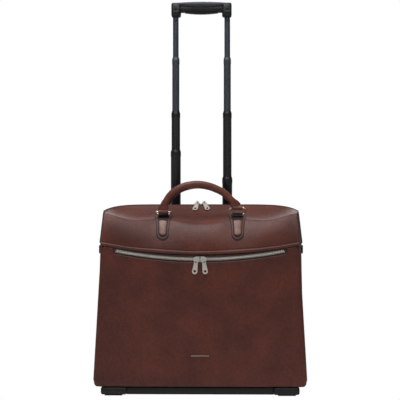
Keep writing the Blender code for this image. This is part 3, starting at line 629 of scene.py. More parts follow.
def seam_z(x):
    """The hem of the front roof: level with the rim at the corners, lower in the middle."""
    share = min(1.0, abs(x) / (SEAM_HALF - 0.004)) ** 2
    return SEAM_LOW_Z + (SPLIT_Z - SEAM_LOW_Z) * share


def zip_z(x):
    """The pocket zip's smile."""
    return ZIP_LOW_Z + ZIP_RADIUS - math.sqrt(ZIP_RADIUS**2 - x * x)


def ridge_z(u):
    """The ridge's height, from 0 in its middle to 1 or -1 at the ears."""
    return RIDGE_Z + (EAR_Z - RIDGE_Z) * min(1.0, abs(u)) ** 8


SIDE_SWELL = 0.0112
SWELL_LOW_Z = 0.100
TENT_REACH = 0.094  # the swell dies away at this distance from the main zip


def side_swell(z):
    """How far the soft sides stand out at the main zip: most at the seam, none at the ear or low down."""
    if z > SPLIT_Z:
        return SIDE_SWELL * max(0.0, EAR_Z - z) / (EAR_Z - SPLIT_Z)
    return SIDE_SWELL * max(0.0, z - SWELL_LOW_Z) / (SPLIT_Z - SWELL_LOW_Z)


def tent_share(y):
    """The swell's share at a distance from the main zip, from 1 to 0."""
    return 1 - (abs(y) / TENT_REACH) ** 1.4


def smooth(low, high, value):
    """Rises smoothly from 0 at low to 1 at high."""
    share = min(1.0, max(0.0, (value - low) / (high - low)))
    return share * share * (3 - 2 * share)


def ripple(point, size, seed=0.0):
    """A soft unevenness of the hide, from -1 to 1, with lumps of about the given size."""
    return noise.noise(Vector(point) / size + Vector((seed, seed * 0.37, -seed)))


def tuck_under(rise, edge):
    """How far a wall curls in at its foot, over a rounding of the given size."""
    return edge - math.sqrt(max(0.0, edge**2 - (edge - min(rise, edge)) ** 2))


def plan(half_x, front, rear, radius, long_side=26, short_side=12, corner=6):
    """Points round a rounded rectangle, from the middle of its rear edge and back to it."""
    x, near, far = half_x - radius, front + radius, rear - radius
    middle = long_side // 2
    points = [Vector((x * k / middle, rear)) for k in range(middle)]
    corners = ((x, far, 90, 0), (x, near, 0, short_side))
    corners += ((-x, near, -90, long_side), (-x, far, -180, short_side))
    for cx, cy, start, straight in corners:
        if straight:
            a = points[-1].copy()
            turn = math.radians(start)
            b = Vector((cx, cy)) + Vector((math.cos(turn), math.sin(turn))) * radius
            points += [a.lerp(b, k / straight) for k in range(1, straight)]
        for k in range(corner + 1):
            turn = math.radians(start - 90 * k / corner)
            points.append(Vector((cx + radius * math.cos(turn), cy + radius * math.sin(turn))))
    last = points[-1].copy()
    points += [last.lerp(Vector((0, rear)), k / middle) for k in range(1, middle + 1)]
    return points


def mirrored(line):
    """A line of points on the other side of the case."""
    return [Vector((-point.x, point.y, point.z)) for point in line]


def wheel_notches(room):
    """Shapes that clear each wheel housing, and all that is outside, behind and below it."""
    notches = []
    for low, high in HOUSINGS.values():
        start, end = (low.x - room, high.x + 0.03) if low.x > 0 else (low.x - 0.03, high.x + room)
        notches.append(block_cutter((start, low.y - room, low.z - 0.01), (end, high.y + 0.02, high.z + room)))
    return notches


def sideways(point):
    """Out from the side of the case that a point is on."""
    return Vector((math.copysign(1, point.x), 0, 0))


# ---- lower body -------------------------------------------------------------------------------------
BODY_ROWS = [0.0, 0.0012, 0.0035, 0.0065, 0.010, 0.014] + [0.014 + 0.27 * k / 16 for k in range(1, 17)]


def body_outline(row, inset, radius):
    """One level of the lower body: rounded at its bottom edge, and a little slack in its side walls."""
    rise = BODY_ROWS[row]
    z = BOTTOM_Z + rise
    tuck = tuck_under(rise, 0.009)
    w = half_width(z) - inset - tuck * 0.75
    front = SHELL_LOW.y + tuck * 0.4
    rear = REAR_Y - inset - tuck * 0.75
    belly = math.sin(math.pi * min(1.0, rise / 0.28)) ** 0.8
    points = []
    for flat in plan(w, front, rear, radius):
        point = Vector((flat.x, flat.y, z))
        mid_y = max(0.0, 1 - (point.y / 0.085) ** 2)
        mid_x = max(0.0, 1 - (point.x / (w * 0.95)) ** 2)
        if abs(point.x) > w - 0.0005 and abs(point.y) < TENT_REACH:
            tent = tent_share(point.y)
            uneven = 0.0007 * ripple(point, 0.05, 3.0) * mid_y * belly
            point.x += math.copysign(side_swell(z) * tent + 0.0010 * mid_y * belly + uneven, point.x)
        elif point.y > 0:
            point.y += (0.0010 * mid_x + 0.0005 * ripple(point, 0.07, 5.0)) * belly * mid_x
        points.append(point)
    return points


def lower_body():
    """The leather body with its bottom, cut away over the wheels."""
    levels = [body_outline(row, 0.0008, 0.010) for row in range(len(BODY_ROWS))]
    columns = len(levels[0]) - 1
    top = len(BODY_ROWS) - 1

    def place(column, row):
        point = levels[row][column]
        if row == top and point.y < FRONT_Y + 0.004:
            point.z = min(point.z, seam_z(point.x) - 0.0006)
        return point

    bm = sheet(columns, top, place)
    bmesh.ops.remove_doubles(bm, verts=bm.verts, dist=1e-5)
    foot = [edge for edge in bm.edges if edge.is_boundary and edge.verts[0].co.z < BOTTOM_Z + 0.001]
    bmesh.ops.contextual_create(bm, geom=foot)
    body = piece("body_leather", bm, HIDE, None, ("case_shell",))
    thick(body, LEATHER)
    bake(body)
    carve(body, wheel_notches(0.0004), 40)
    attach(body, "case")


def pocket_top(x):
    """The pocket's upper edge: the zip's lip, and beyond the zip's ends the seam."""
    a = abs(x)
    seam = seam_z(x) - 0.0008
    near, far = ZIP_HALF_LENGTH + 0.0005, ZIP_HALF_LENGTH + 0.0055
    if a >= far:
        return seam
    lip = zip_z(min(a, near)) - ZIP_LIP
    if a <= near:
        return lip
    share = (a - near) / (far - near)
    return lip + (seam - lip) * (1 - math.sqrt(max(0.0, 1 - share * share)))


POCKET_ROWS = [0.0, 0.004, 0.009, 0.016] + [0.016 + 0.964 * k / 26 for k in range(1, 26)]
POCKET_ROWS += [0.984, 0.992, 0.997, 1.0]


def pocket_columns():
    """Stations across the pocket: round each corner, and close together at the zip's ends."""
    front = [0.0, 0.2, 0.4, 0.55, 0.7, 0.8, 0.9, 1.0]
    past_zip = (0.0, 0.001, 0.002, 0.0032, 0.0042, 0.005, 0.0056, 0.008, 0.012, 0.017)
    half = [0.145 * k / 18 for k in range(19)] + [0.152, 0.159, 0.165]
    half += [ZIP_HALF_LENGTH + past for past in past_zip]
    return [-x for x in half[:0:-1]] + half, front


def front_pocket():
    """The pocket's outer leather wraps round both front corners and is tucked under the base."""
    flat, turn = pocket_columns()
    radius = 0.008
    turn_end = 0.7  # the share of a corner's columns that bend; the rest run on along the side
    stations = [("left", t) for t in turn[::-1]] + [("flat", x) for x in flat] + [("right", t) for t in turn]

    def place(column, row):
        kind, value = stations[column]
        share = POCKET_ROWS[row]
        if kind == "flat":
            z = BOTTOM_Z + (pocket_top(value) - BOTTOM_Z) * share
            x = value * (half_width(z) - radius) / (SEAM_HALF - radius)
            y = FRONT_Y
        else:
            sign = -1 if kind == "left" else 1
            z = BOTTOM_Z + (seam_z(SEAM_HALF) - 0.0008 - BOTTOM_Z) * share
            w = half_width(z)
            angle = min(1.0, value / turn_end) * math.pi / 2
            x = sign * (w - radius + radius * math.sin(angle))
            y = FRONT_Y + radius * (1 - math.cos(angle))
            if value > turn_end:
                y += (value - turn_end) / (1 - turn_end) * (POCKET_WRAP_Y - FRONT_Y - radius)
        rise = z - BOTTOM_Z
        tuck = tuck_under(rise, 0.010)
        y += tuck * 0.6 if kind == "flat" or value < turn_end else 0
        if kind != "flat":
            x -= math.copysign(tuck * 0.35, x)
        wave = 0.0006 * ripple((x, 0, z), 0.085, 1.0) + 0.00025 * ripple((x, 0, z), 0.03, 9.0)
        y += wave * smooth(0, 0.03, rise) * smooth(0, 0.02, (1 - share) * 0.25)
        # the lip is folded over a cord, so it stands up a little
        lip = smooth(0.9895, 0.9965, share) if kind == "flat" else 0
        y -= 0.0007 * lip * (1 - smooth(0.9965, 1.0, share) * 0.7)
        return Vector((x, y, z))

    bm = sheet(len(stations) - 1, len(POCKET_ROWS) - 1, place)
    panel("pocket_leather", bm, HIDE, "case", 0.0018, 0.0005, replaces=("front_pocket_panel",))
    heights = [BOTTOM_Z + 0.012 + 0.266 * k / 60 for k in range(61)]
    seam = [Vector((half_width(z) + 0.0002, POCKET_WRAP_Y - 0.0028, z)) for z in heights]
    stitches("pocket_side_stitches_left", mirrored(seam), sideways, "case")
    stitches("pocket_side_stitches_right", seam, sideways, "case")
    xs = [-0.166 + 0.332 * k / 80 for k in range(81)]
    line = [Vector((x, FRONT_Y - 0.0003, pocket_top(x) - 0.0042)) for x in xs]
    stitches("pocket_lip_stitches", line, lambda p: Vector((0, -1, 0)), "case", finish=HEM_THREAD)


# ---- top panels -------------------------------------------------------------------------------------
FOLD_MARKS = (  # (distance from the middle, y, z) along the fold: low in the middle, high at the ears
    (0.0, -0.076, 0.3455),
    (0.022, -0.076, 0.3462),
    (0.043, -0.073, 0.3505),
    (0.060, -0.067, 0.3550),
    (0.078, -0.0645, 0.3565),
    (0.100, -0.068, 0.3555),
    (0.125, -0.076, 0.3535),
    (0.138, -0.079, 0.3540),
    (0.152, -0.080, 0.3565),
    (0.167, -0.081, 0.3610),
    (0.181, -0.080, 0.3655),
    (0.196, -0.078, 0.3680),
    (EAR_HALF, -0.078, 0.3680),
)
FOLD_HALF = 0.1958  # half width of the front roof at its fold
ROOF_SHARE = 0.46  # the share of a roof's run from the zip to its fold; the rest is the shoulder


def fold_line(x):
    """Where the front roof turns down over the shoulder: (y, z) at a distance from the middle."""
    a = abs(x)
    for (x0, y0, z0), (x1, y1, z1) in zip(FOLD_MARKS, FOLD_MARKS[1:]):
        if a <= x1:
            share = (a - x0) / (x1 - x0)
            return y0 + (y1 - y0) * share, z0 + (z1 - z0) * share
    return FOLD_MARKS[-1][1:]


def top_half(s):
    """Half width of a roof: it draws in from the ear to the fold, then widens again to the hem."""
    if s < ROOF_SHARE:
        return EAR_HALF + (FOLD_HALF - EAR_HALF) * smooth(0, ROOF_SHARE, s)
    return FOLD_HALF + (SEAM_HALF - FOLD_HALF) * (s - ROOF_SHARE) / (1 - ROOF_SHARE)


def side_line(z):
    """How far out the side zip runs at a height above the seam."""
    share = min(1.0, max(0.0, (z - SPLIT_Z) / (EAR_Z - SPLIT_Z)))
    return SEAM_HALF + 0.0004 + (EAR_HALF - SEAM_HALF) * share + side_swell(max(z, SPLIT_Z))


def raw_roof(u, s):
    """The front roof before its fold is softened: u runs from ear to ear, s from the zip to the hem."""
    u = max(-1.0, min(1.0, u))
    s = max(0.0, min(1.0, s))
    x = u * top_half(s)
    cy, cz = fold_line(x)
    start = Vector((0, -MAIN_ZIP_EDGE_Y, ridge_z(u)))
    fold = Vector((0, cy, cz))
    if s < ROOF_SHARE:
        t = s / ROOF_SHARE
        point = start.lerp(fold, t)
        hollow = 0.0022 + 0.0046 * smooth(0.050, 0.130, abs(x))  # room for the pulls to travel over
        point.z -= hollow * math.sin(math.pi * t) * (1 - smooth(0.172, 0.198, abs(x)))
    else:
        t = (s - ROOF_SHARE) / (1 - ROOF_SHARE)
        hem = Vector((0, FRONT_Y, seam_z(x) + 0.0008))
        full = 1 - abs(u) ** 3
        belly = fold.lerp(hem, 0.46) + Vector((0, -0.0120 * full - 0.0100 * (1 - full), 0.0040))
        point = fold * (1 - t) ** 2 + belly * 2 * t * (1 - t) + hem * t * t
    point.x = x
    return point


def roof(u, s):
    """A point of the front roof with its fold softened, more so in the middle than at the ears."""
    h = 0.006 + 0.011 * (1 - min(1.0, abs(u)) ** 2)
    h = min(h, s, 1 - s)
    point = (raw_roof(u, s - h) + raw_roof(u, s) * 2 + raw_roof(u, s + h)) / 4
    point.x = u * top_half(s)
    lumps = 0.0010 * ripple(point, 0.06, 2.0) + 0.0004 * ripple(point, 0.024, 4.0)
    calm = smooth(0.12, 0.34, s) * smooth(0, 0.10, 1 - s) * smooth(0, 0.05, 1 - abs(u))
    return point + Vector((0, -0.5, 0.86)) * lumps * calm


def surface_normal(surface, u, s):
    step = 4e-3
    across = surface(u + step, s) - surface(u - step, s)
    down = surface(u, min(1, s + step)) - surface(u, max(0, s - step))
    return across.cross(down).normalized()


def roof_normal(u, s):
    normal = surface_normal(roof, u, s)
    return normal if normal.y < 0.2 and (normal.z > 0 or normal.y < 0) else -normal


GUSSET = 6  # columns of leather between a roof's end and the side zip


def with_gussets(surface, zip_y, columns, rows):
    """Carries a roof surface round both ends to the side zip, with a softly rounded corner."""
    def place(column, row):
        s = rows[row]
        if GUSSET <= column <= GUSSET + len(columns) - 1:
            u = columns[column - GUSSET]
            point = surface(u, s)
            near = 1 - abs(u)
            if near < 0.02 < s:
                point.x -= math.copysign(0.0009, u) * (1 - near / 0.02)
            return point
        left = column < GUSSET
        k = (GUSSET - column) if left else column - GUSSET - len(columns) + 1
        u = -1 if left else 1
        corner = surface(u, s)
        share = (k / GUSSET) ** 1.3
        y = corner.y + (zip_y - corner.y) * share
        x = abs(corner.x) + 0.0004 + (side_line(corner.z) - abs(corner.x) - 0.0004) * share**1.1
        return Vector((math.copysign(x, u), y, corner.z))

    return sheet(len(columns) - 1 + 2 * GUSSET, len(rows) - 1, place)


ROOF_COLUMNS = [-1.0, -0.992, -0.98, -0.96] + [-0.94 + 1.88 * k / 52 for k in range(53)]
ROOF_COLUMNS += [0.96, 0.98, 0.992, 1.0]
ROOF_ROWS = [0.0, 0.004, 0.010, 0.020, 0.028, 0.035, 0.042, 0.055] + [k / 40 for k in range(3, 38)]
ROOF_ROWS += [0.936, 0.944, 0.950, 0.955, 0.960, 0.966, 0.976, 0.986, 0.994, 1.0]
SEW_ROW = 0.055  # the row stitched along the main zip


def roof_with_welt(u, s):
    """The roof's lower edge is folded over a cord and stitched, which leaves a raised welt."""
    point = roof(u, s)
    welt = smooth(0.955, 0.968, s) * (1 - 0.5 * smooth(0.99, 1.0, s))
    groove = smooth(0.938, 0.949, s) * (1 - smooth(0.952, 0.960, s))
    point.y += 0.0006 * groove - 0.0008 * welt
    point.z += 0.0003 * (1 - smooth(0.028, 0.042, s)) * smooth(-0.01, 0.008, s)
    return point


def front_roof():
    """The front half of the top, from the main zip over the shoulder to its hem."""
    bm = with_gussets(roof_with_welt, -MAIN_ZIP_EDGE_Y, ROOF_COLUMNS, ROOF_ROWS)
    panel("front_roof_leather", bm, HIDE, "mouth_panel", LEATHER, 0.0005, replaces=("front_top_panel",))
    line = [roof(-0.97 + 1.94 * k / 100, 0.951) + Vector((0, 0.0007, 0)) for k in range(101)]
    stitches("roof_hem_stitches", line, lambda p: Vector((0, -1, 0.05)), "mouth_panel", finish=HEM_THREAD)
    line = [roof(-0.93 + 1.86 * k / 100, SEW_ROW) for k in range(101)]
    stitches("roof_zip_stitches", line, lambda p: Vector((0, -0.4, 1)), "mouth_panel", radius=0.00026)


def rear_roof_point(u, s):
    """The rear roof slopes from the zip to a level ledge for the pull handle, then drops as the rear wall."""
    u = max(-1.0, min(1.0, u))
    x = u * top_half(s)
    end = abs(u) ** 6
    ledge = REAR_LEDGE_Z - 0.010 * end
    if s <= 0.6:
        t = s / 0.6
        start, near = Vector((MAIN_ZIP_EDGE_Y, ridge_z(u))), Vector((0.030, 0.367))
        far, last = Vector((0.050, ledge)), Vector((0.066, ledge))
        flat = start * (1 - t) ** 3 + near * 3 * t * (1 - t) ** 2 + far * 3 * t * t * (1 - t) + last * t**3
    elif s <= 0.8:
        flat = Vector((0.066, ledge)).lerp(Vector((REAR_Y - 0.006, ledge - 0.004 * end)), (s - 0.6) / 0.2)
    elif s <= 0.9:
        angle = (s - 0.8) / 0.1 * math.pi / 2
        heel = Vector((REAR_Y - 0.006, ledge - 0.006 - 0.004 * end))
        flat = heel + Vector((math.sin(angle), math.cos(angle))) * 0.006
    else:
        flat = Vector((REAR_Y, ledge - 0.006)).lerp(Vector((REAR_Y, SPLIT_Z + 0.0008)), (s - 0.9) / 0.1)
    return Vector((x, flat.x, flat.y))


def rear_normal(u, s):
    normal = surface_normal(rear_roof_point, u, s)
    return normal if normal.z > 0 else -normal


def rear_roof():
    """The rear half of the top, with its ledge holed for the pull handle's tubes."""
    rows = [0.6 * k / 22 for k in range(23)] + [0.66, 0.72, 0.8, 0.82, 0.84, 0.86, 0.88, 0.9]
    rows += [0.93, 0.96, 0.98, 1.0]
    bm = with_gussets(rear_roof_point, MAIN_ZIP_EDGE_Y, ROOF_COLUMNS, rows)
    top = panel("rear_roof_leather", bm, HIDE, None, LEATHER, replaces=("rear_top_panel",))
    holes = []
    for _, label in SIDES:
        low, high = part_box(f"outer_tube_{label}")
        middle = (low + high) / 2
        holes.append(drum_cutter((middle.x, middle.y, REAR_LEDGE_Z), (high.x - low.x) / 2 + 0.0006, 0.03))
    carve(top, holes, 40)
    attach(top, "case")
    line = [rear_roof_point(-0.93 + 1.86 * k / 100, SEW_ROW) for k in range(101)]
    stitches("rear_zip_stitches", line, lambda p: Vector((0, 0.4, 1)), "case")


def rim_stitches():
    """Stitching under the turned rim of the lower body, on both sides and the rear."""
    z = SPLIT_Z - 0.0045
    line = []
    for k in range(31):
        y = -0.078 + 0.166 * k / 30
        line.append(Vector((half_width(z) - 0.0004 + side_swell(z) * tent_share(y), y, z)))
    stitches("rim_stitches_left", mirrored(line), sideways, "case")
    stitches("rim_stitches_right", line, sideways, "case")
    line = [Vector((-0.186 + 0.372 * k / 40, REAR_Y - 0.0006, z)) for k in range(41)]
    stitches("rim_stitches_rear", line, lambda p: Vector((0, 1, 0)), "case")


def mouth_bellows():
    """Soft leather inside each side, where the front panel folds forward; it is made in place and rides on no
    body.
    """
    columns, rows = 14, 16
    low_z, high_z = 0.235, SPLIT_Z + 0.020
    front_y, back_y = FRONT_Y + 0.012, -MAIN_ZIP_EDGE_Y - 0.0012
    for sign, label in SIDES:

        def place(column, row, sign=sign):
            share = row / rows
            z = low_z + (high_z - low_z) * share
            y = front_y + (back_y - front_y) * column / columns
            pleat = 0.0010 * math.sin(column * 1.9) * (1 - share)
            x = half_width(min(z, SPLIT_Z)) - 0.0044 - pleat
            roof_y = raw_roof(1, 0.98).y + (z - SPLIT_Z) * 1.5 if z > SPLIT_Z else y
            return Vector((sign * x, max(y, roof_y), z))

        bellows = panel(f"mouth_bellows_{label}", sheet(columns, rows, place), HIDE, None, 0.0010)
        bake(bellows)
        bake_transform(bellows)


# ---- zips -------------------------------------------------------------------------------------------
def zip_teeth(name, points, outward, body, node):
    """Two rows of cast teeth that mesh along a line, drawn at a coarse 1.6 mm pitch so that they show."""
    pitch = 0.0016
    tooth = Matrix.Diagonal((pitch * 0.84, 0.0042, 0.0013, 1))
    bm = bmesh.new()
    for n, (spot, side, out, turn) in enumerate(spaced(points, pitch, outward)):
        hand = 1 if n % 2 else -1
        seat = Matrix.Translation(spot + side * hand * 0.0011 + out * 0.0004)
        made = bmesh.ops.create_cube(bm, size=1, matrix=seat @ turn @ tooth)
        for face in {face for vert in made["verts"] for face in vert.link_faces}:
            middle = face.calc_center_median()
            if middle.dot(out) > spot.dot(out) + 0.0009:  # the crown is narrower than the root
                bmesh.ops.scale(bm, verts=face.verts, vec=(0.72, 0.72, 0.72), space=Matrix.Translation(-middle))
    piece(name, bm, TEETH, body, (node,), recalc=False, angle=30)


def front_zip():
    """The pocket's zip lies behind the cut in the front leather, below the roof's hem."""
    columns = 60
    end = ZIP_HALF_LENGTH + 0.004
    rises = (-0.0085, -0.0048, -0.0040, -0.0031, 0.0031, 0.0040, 0.0075)
    prouds = (0.0, 0.0, 0.0003, 0.0006, 0.0006, 0.0003, 0.0)

    def place(column, row):
        x = -end + 2 * end * column / columns
        middle = zip_z(max(-ZIP_HALF_LENGTH, min(ZIP_HALF_LENGTH, x)))
        return Vector((x, FRONT_Y + 0.0016 - prouds[row], middle + rises[row]))

    panel("front_zip_tape", sheet(columns, 6, place), TAPE_BROWN, "case", 0.0005)
    xs = [-ZIP_HALF_LENGTH + 2 * ZIP_HALF_LENGTH * k / 80 for k in range(81)]
    line = [Vector((x, FRONT_Y + 0.0004, zip_z(x))) for x in xs]
    zip_teeth("front_zip_teeth", line, lambda p: Vector((0, -1, 0)), "case", "front_zip")


def ridge_path():
    """The main zip's line: up the left side, along the ridge and down the right side."""
    side = []
    for k in range(14):
        z = MAIN_ZIP_FOOT_Z + 0.001 + (EAR_Z - 0.004 - MAIN_ZIP_FOOT_Z) * k / 13
        side.append(Vector((side_line(z), 0, z)))
    side.append(Vector((EAR_HALF - 0.0002, 0, EAR_Z - 0.0016)))
    side.append(Vector((EAR_HALF - 0.0016, 0, EAR_Z - 0.0002)))
    top = []
    for k in range(33):
        u = 0.985 - 0.985 * k / 32
        top.append(Vector((u * EAR_HALF, 0, ridge_z(u))))
    right = side + top
    return mirrored(right[:-1]) + right[::-1]


def ridge_out(point):
    """The main zip's own direction: up along the ridge, outwards down the sides."""
    up = Vector((0, 0, 1))
    if abs(point.x) <= EAR_HALF - 0.012:
        return up
    side = Vector((math.copysign(1, point.x), 0, 0.05))
    return side.lerp(up, smooth(EAR_Z - 0.006, EAR_Z + 0.004, point.z))


def top_zip():
    """The main zip: a tape with a raised cord along each side of its teeth."""
    path = ridge_path()
    ys = (-0.0058, -0.0045, -0.0036, 0.0, 0.0036, 0.0045, 0.0058)
    prouds = (0.0, 0.0022, 0.0008, 0.0006, 0.0008, 0.0022, 0.0)

    def place(column, row):
        point = path[column]
        return point + Vector((0, ys[row], 0)) + ridge_out(point) * (prouds[row] - 0.0004)

    panel("top_zip_tape", sheet(len(path) - 1, 6, place), TAPE, "mouth_panel", 0.0006)
    line = [point + ridge_out(point) * 0.0004 for point in path]
    zip_teeth("top_zip_teeth", line, ridge_out, "mouth_panel", "top_zip")


# ---- handles ----------------------------------------------------------------------------------------
RING_LOW, RING_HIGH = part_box("front_handle_ring_right")
HANDLE_X = (RING_LOW.x + RING_HIGH.x) / 2
WIRE = 0.0014  # half the ring wire's thickness
JOINTS = {joint["name"]: joint for joint in frame["record"]["behaviour"]["joints"]}


def pivot(name):
    return Vector(JOINTS[name]["pos_m"])


def u_of(x, s):
    """A panel's own place across, from -1 to 1, at a distance from the middle."""
    return x / top_half(s)


def find_s(surface, y, u):
    """The share of a panel's run at which its surface reaches a given y."""
    low, high = 0.0, 0.95
    rising = surface(u, high).y > surface(u, low).y
    for _ in range(40):
        middle = (low + high) / 2
        if (surface(u, middle).y < y) == rising:
            low = middle
        else:
            high = middle
    return (low + high) / 2


def tab_outline(share, wide, narrow, round_from):
    """Half width of a tab at a share of its length, ending in a half circle."""
    half = wide + (narrow - wide) * smooth(0, 0.7, share)
    if share > round_from:
        t = (share - round_from) / (1 - round_from)
        half *= math.sqrt(max(0.0, 1 - t * t))
    return max(half, 0.0004)


def tab_layer(name, spot, shape, rise, crown, finish, body, nodes):
    """A layer of a tab lying on a panel, slightly crowned, with a round end."""
    x, surface, normal = spot
    start, end, wide, narrow, round_from = shape
    rows, columns = 30, 12

    def place(column, row):
        share = row / rows
        if share > round_from:
            t = (share - round_from) / (1 - round_from)
            share = round_from + (1 - round_from) * math.sin(t * math.pi / 2)
        s = start + (end - start) * share
        across = -1 + 2 * column / columns
        across = math.copysign(abs(across) ** 0.75, across)
        u = u_of(x + tab_outline(share, wide, narrow, round_from) * across, s)
        lift = rise + crown * (1 - abs(across) ** 2.6) * (1 - smooth(0.9, 1.0, share) * 0.7)
        return surface(u, s) + normal(u, s) * lift

    depth = rise + 0.0006 if rise > 0.0018 else 0.0016
    panel(name, sheet(columns, rows, place), finish, body, depth, 0.0004, replaces=nodes)


def tab_sewing_line(spot, shape, rise, inset):
    """The stitching line round a tab, a little in from its edge."""
    x, surface, normal = spot
    start, end, wide, narrow, round_from = shape
    halves = []
    for sign in (-1, 1):
        half = []
        for k in range(40):
            share = 0.15 + 0.845 * k / 39
            out = max(0.0, tab_outline(share, wide, narrow, round_from) - inset)
            s = start + (end - start) * (share - inset * 9 * smooth(round_from, 1, share))
            u = u_of(x + sign * out, s)
            half.append(surface(u, s) + normal(u, s) * rise)
        halves.append(half)
    return halves[0] + halves[1][::-1]


def handle_tabs():
    """Each tab: a stitched backing patch, a padded tongue with painted edges, and a fold round the ring. Dark
    layers add painted shade under the fold and a painted shadow below the patch; the tongue's pale hide is a
    painted highlight.
    """
    panels = {
        "front": (roof, roof_normal, "mouth_panel", pivot("front_rings_swing")),
        "rear": (rear_roof_point, rear_normal, "case", pivot("rear_rings_swing")),
    }
    for kind, (surface, normal, body, loop) in panels.items():
        for sign, label in SIDES:
            x = sign * HANDLE_X
            node = f"{kind}_handle_tab_{label}"
            spot = (x, surface, normal)
            head = find_s(surface, loop.y, u_of(x, 0.4))
            if kind == "front":
                tip = 0.805
                # the padded part starts just below the fold of the roof, at this height
                steps = [head + (tip - head) * k / 60 for k in range(60)]
                pad = min(steps, key=lambda s: abs(surface(u_of(x, 0.5), s).z - 0.3508))
            else:
                tip = find_s(surface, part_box(node)[1].y, u_of(x, 0.4))
                pad = head + 0.3 * (tip - head)
            length = tip - head
            # name, (start, end, half width at the head, at the tip, where it turns round), rise, crown
            layers = (
                # border: dark edge paint round the patch, run on past its tip as a painted shadow below it
                ("border", (head - 0.012, tip + 0.020, 0.0174, 0.0128, 0.80), 0.0005, 0.0002, EDGE_PAINT_AND_SHADE_HIDE, ()),
                ("patch", (head - 0.010, tip, 0.0162, 0.0115, 0.80), 0.0010, 0.0002, HIDE, ()),
                # groove: dark edge paint round the tongue, and painted shade in the recess above it under the
                # ring's fold
                ("groove", (head, tip - 0.06 * length, 0.0128, 0.0090, 0.82), 0.0014, 0.0001, EDGE_PAINT_AND_SHADE_HIDE, ()),
                # tongue: its pale hide is a painted highlight
                ("tongue", (pad, tip - 0.11 * length, 0.0084, 0.0072, 0.84), 0.0027, 0.0014, TAB_HIDE_PAINTED_HIGHLIGHT, (node,)),
            )
            for mark, shape, rise, crown, finish, nodes in layers:
                tab_layer(f"{kind}_tab_{mark}_{label}", spot, shape, rise, crown, finish, body, nodes)
            line = tab_sewing_line(spot, (head - 0.01, tip, 0.0162, 0.0115, 0.80), 0.0014, 0.0016)
            out = normal(u_of(x, 0.6), 0.62)
            stitches(f"{kind}_tab_stitches_{label}", line, lambda p, out=out: out, body, 0.0030, 0.00034)
            fold_round_bar(f"{kind}_tab_fold_{label}", Vector((x, loop.y, loop.z)), spot, head, body)


def roll(inner, outer, half, centre):
    """A short hollow roll of leather lying along X, with eased ends."""
    ease = 0.0006
    outline = ((inner, -half), (outer - ease, -half), (outer, -half + ease))
    outline += ((outer, half - ease), (outer - ease, half), (inner, half))
    return turned(outline, centre, "X", 28)


def fold_round_bar(name, centre, spot, head, body):
    """The strap's fold round the ring's lower bar, and the wedge of leather where it runs into the tab, in
    near-black hide as painted shade under the fold.
    """
    _, surface, normal = spot
    half, inner = 0.0108, WIRE + 0.0006
    piece(name, roll(inner, 0.0042, half, centre), TAB_HIDE_PAINTED_HIGHLIGHT, body)
    u = u_of(centre.x, head)
    foot = surface(u, head)
    out = normal(u, head)
    down = (surface(u_of(centre.x, head + 0.06), head + 0.06) - foot).normalized()
    inset = 0.0004
    wedge = bmesh.new()
    verts = []
    for shift, lift in ((-0.0042, 0.0), (0.0090, 0.0), (0.0090, 0.0024), (0.0036, 0.0050), (-0.0042, 0.0050)):
        point = foot + out * (0.0022 + lift) + down * shift
        verts.append(wedge.verts.new((centre.x - half + inset, point.y, point.z)))
    face = wedge.faces.new(verts)
    grown = bmesh.ops.extrude_face_region(wedge, geom=[face])["geom"]
    ends = [item for item in grown if isinstance(item, bmesh.types.BMVert)]
    bmesh.ops.translate(wedge, verts=ends, vec=(2 * (half - inset), 0, 0))
    # painted shade: the wedge under the fold is near-black hide, where the fold's shadow falls
    painted_shade_throat = piece(name.replace("fold", "painted_shade_throat"), wedge, EDGE_PAINT_AND_SHADE_HIDE, None)
    carve(painted_shade_throat, [drum_cutter(centre, inner + 0.0006, 0.06, "X", 24)])
    ease_edges(painted_shade_throat, 0.0005)
    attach(painted_shade_throat, body)


def ring_bars(kind, sign, label):
    """The middles of a ring's upper bar, worked out from the ring's box, and of its lower bar."""
    low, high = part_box(f"{kind}_handle_ring_{label}")
    near = pivot(f"{kind}_rings_swing")
    y = low.y + WIRE if kind == "front" else high.y - WIRE
    return Vector((sign * HANDLE_X, y, high.z - WIRE)), Vector((sign * HANDLE_X, near.y, near.z))


def rings():
    """Bent wire rings, plated."""
    half, corner = 0.0164, 0.0048
    for kind in ("front", "rear"):
        for sign, label in SIDES:
            far, near = ring_bars(kind, sign, label)
            away = (far - near).normalized()
            height = (far - near).length
            path = []
            low, high = corner, height - corner
            for side, centre, start in ((1, low, -90), (1, high, 0), (-1, high, 90), (-1, low, 180)):
                for k in range(7):
                    turn = math.radians(start + 15 * k)
                    across = Vector((side * (half - corner) + corner * math.cos(turn), 0, 0))
                    path.append(near + across + away * (centre + corner * math.sin(turn)))
            bm = swept(path, lambda i: (WIRE, WIRE), True, Vector((1, 0, 0)).cross(away), 14)
            nodes = (f"{kind}_handle_ring_{label}",)
            piece(f"{kind}_ring_{label}", bm, NICKEL, f"{kind}_rings", nodes)


HANDLE_ARCH = (  # (x, z) marks along a handle, from left to right
    (-0.0715, 0.390),
    (-0.064, 0.4025),
    (-0.051, 0.4145),
    (-0.033, 0.4230),
    (-0.012, 0.4270),
    (0.008, 0.4258),
    (0.028, 0.4200),
    (0.047, 0.4105),
    (0.0600, 0.3990),
    (0.0690, 0.3890),
)


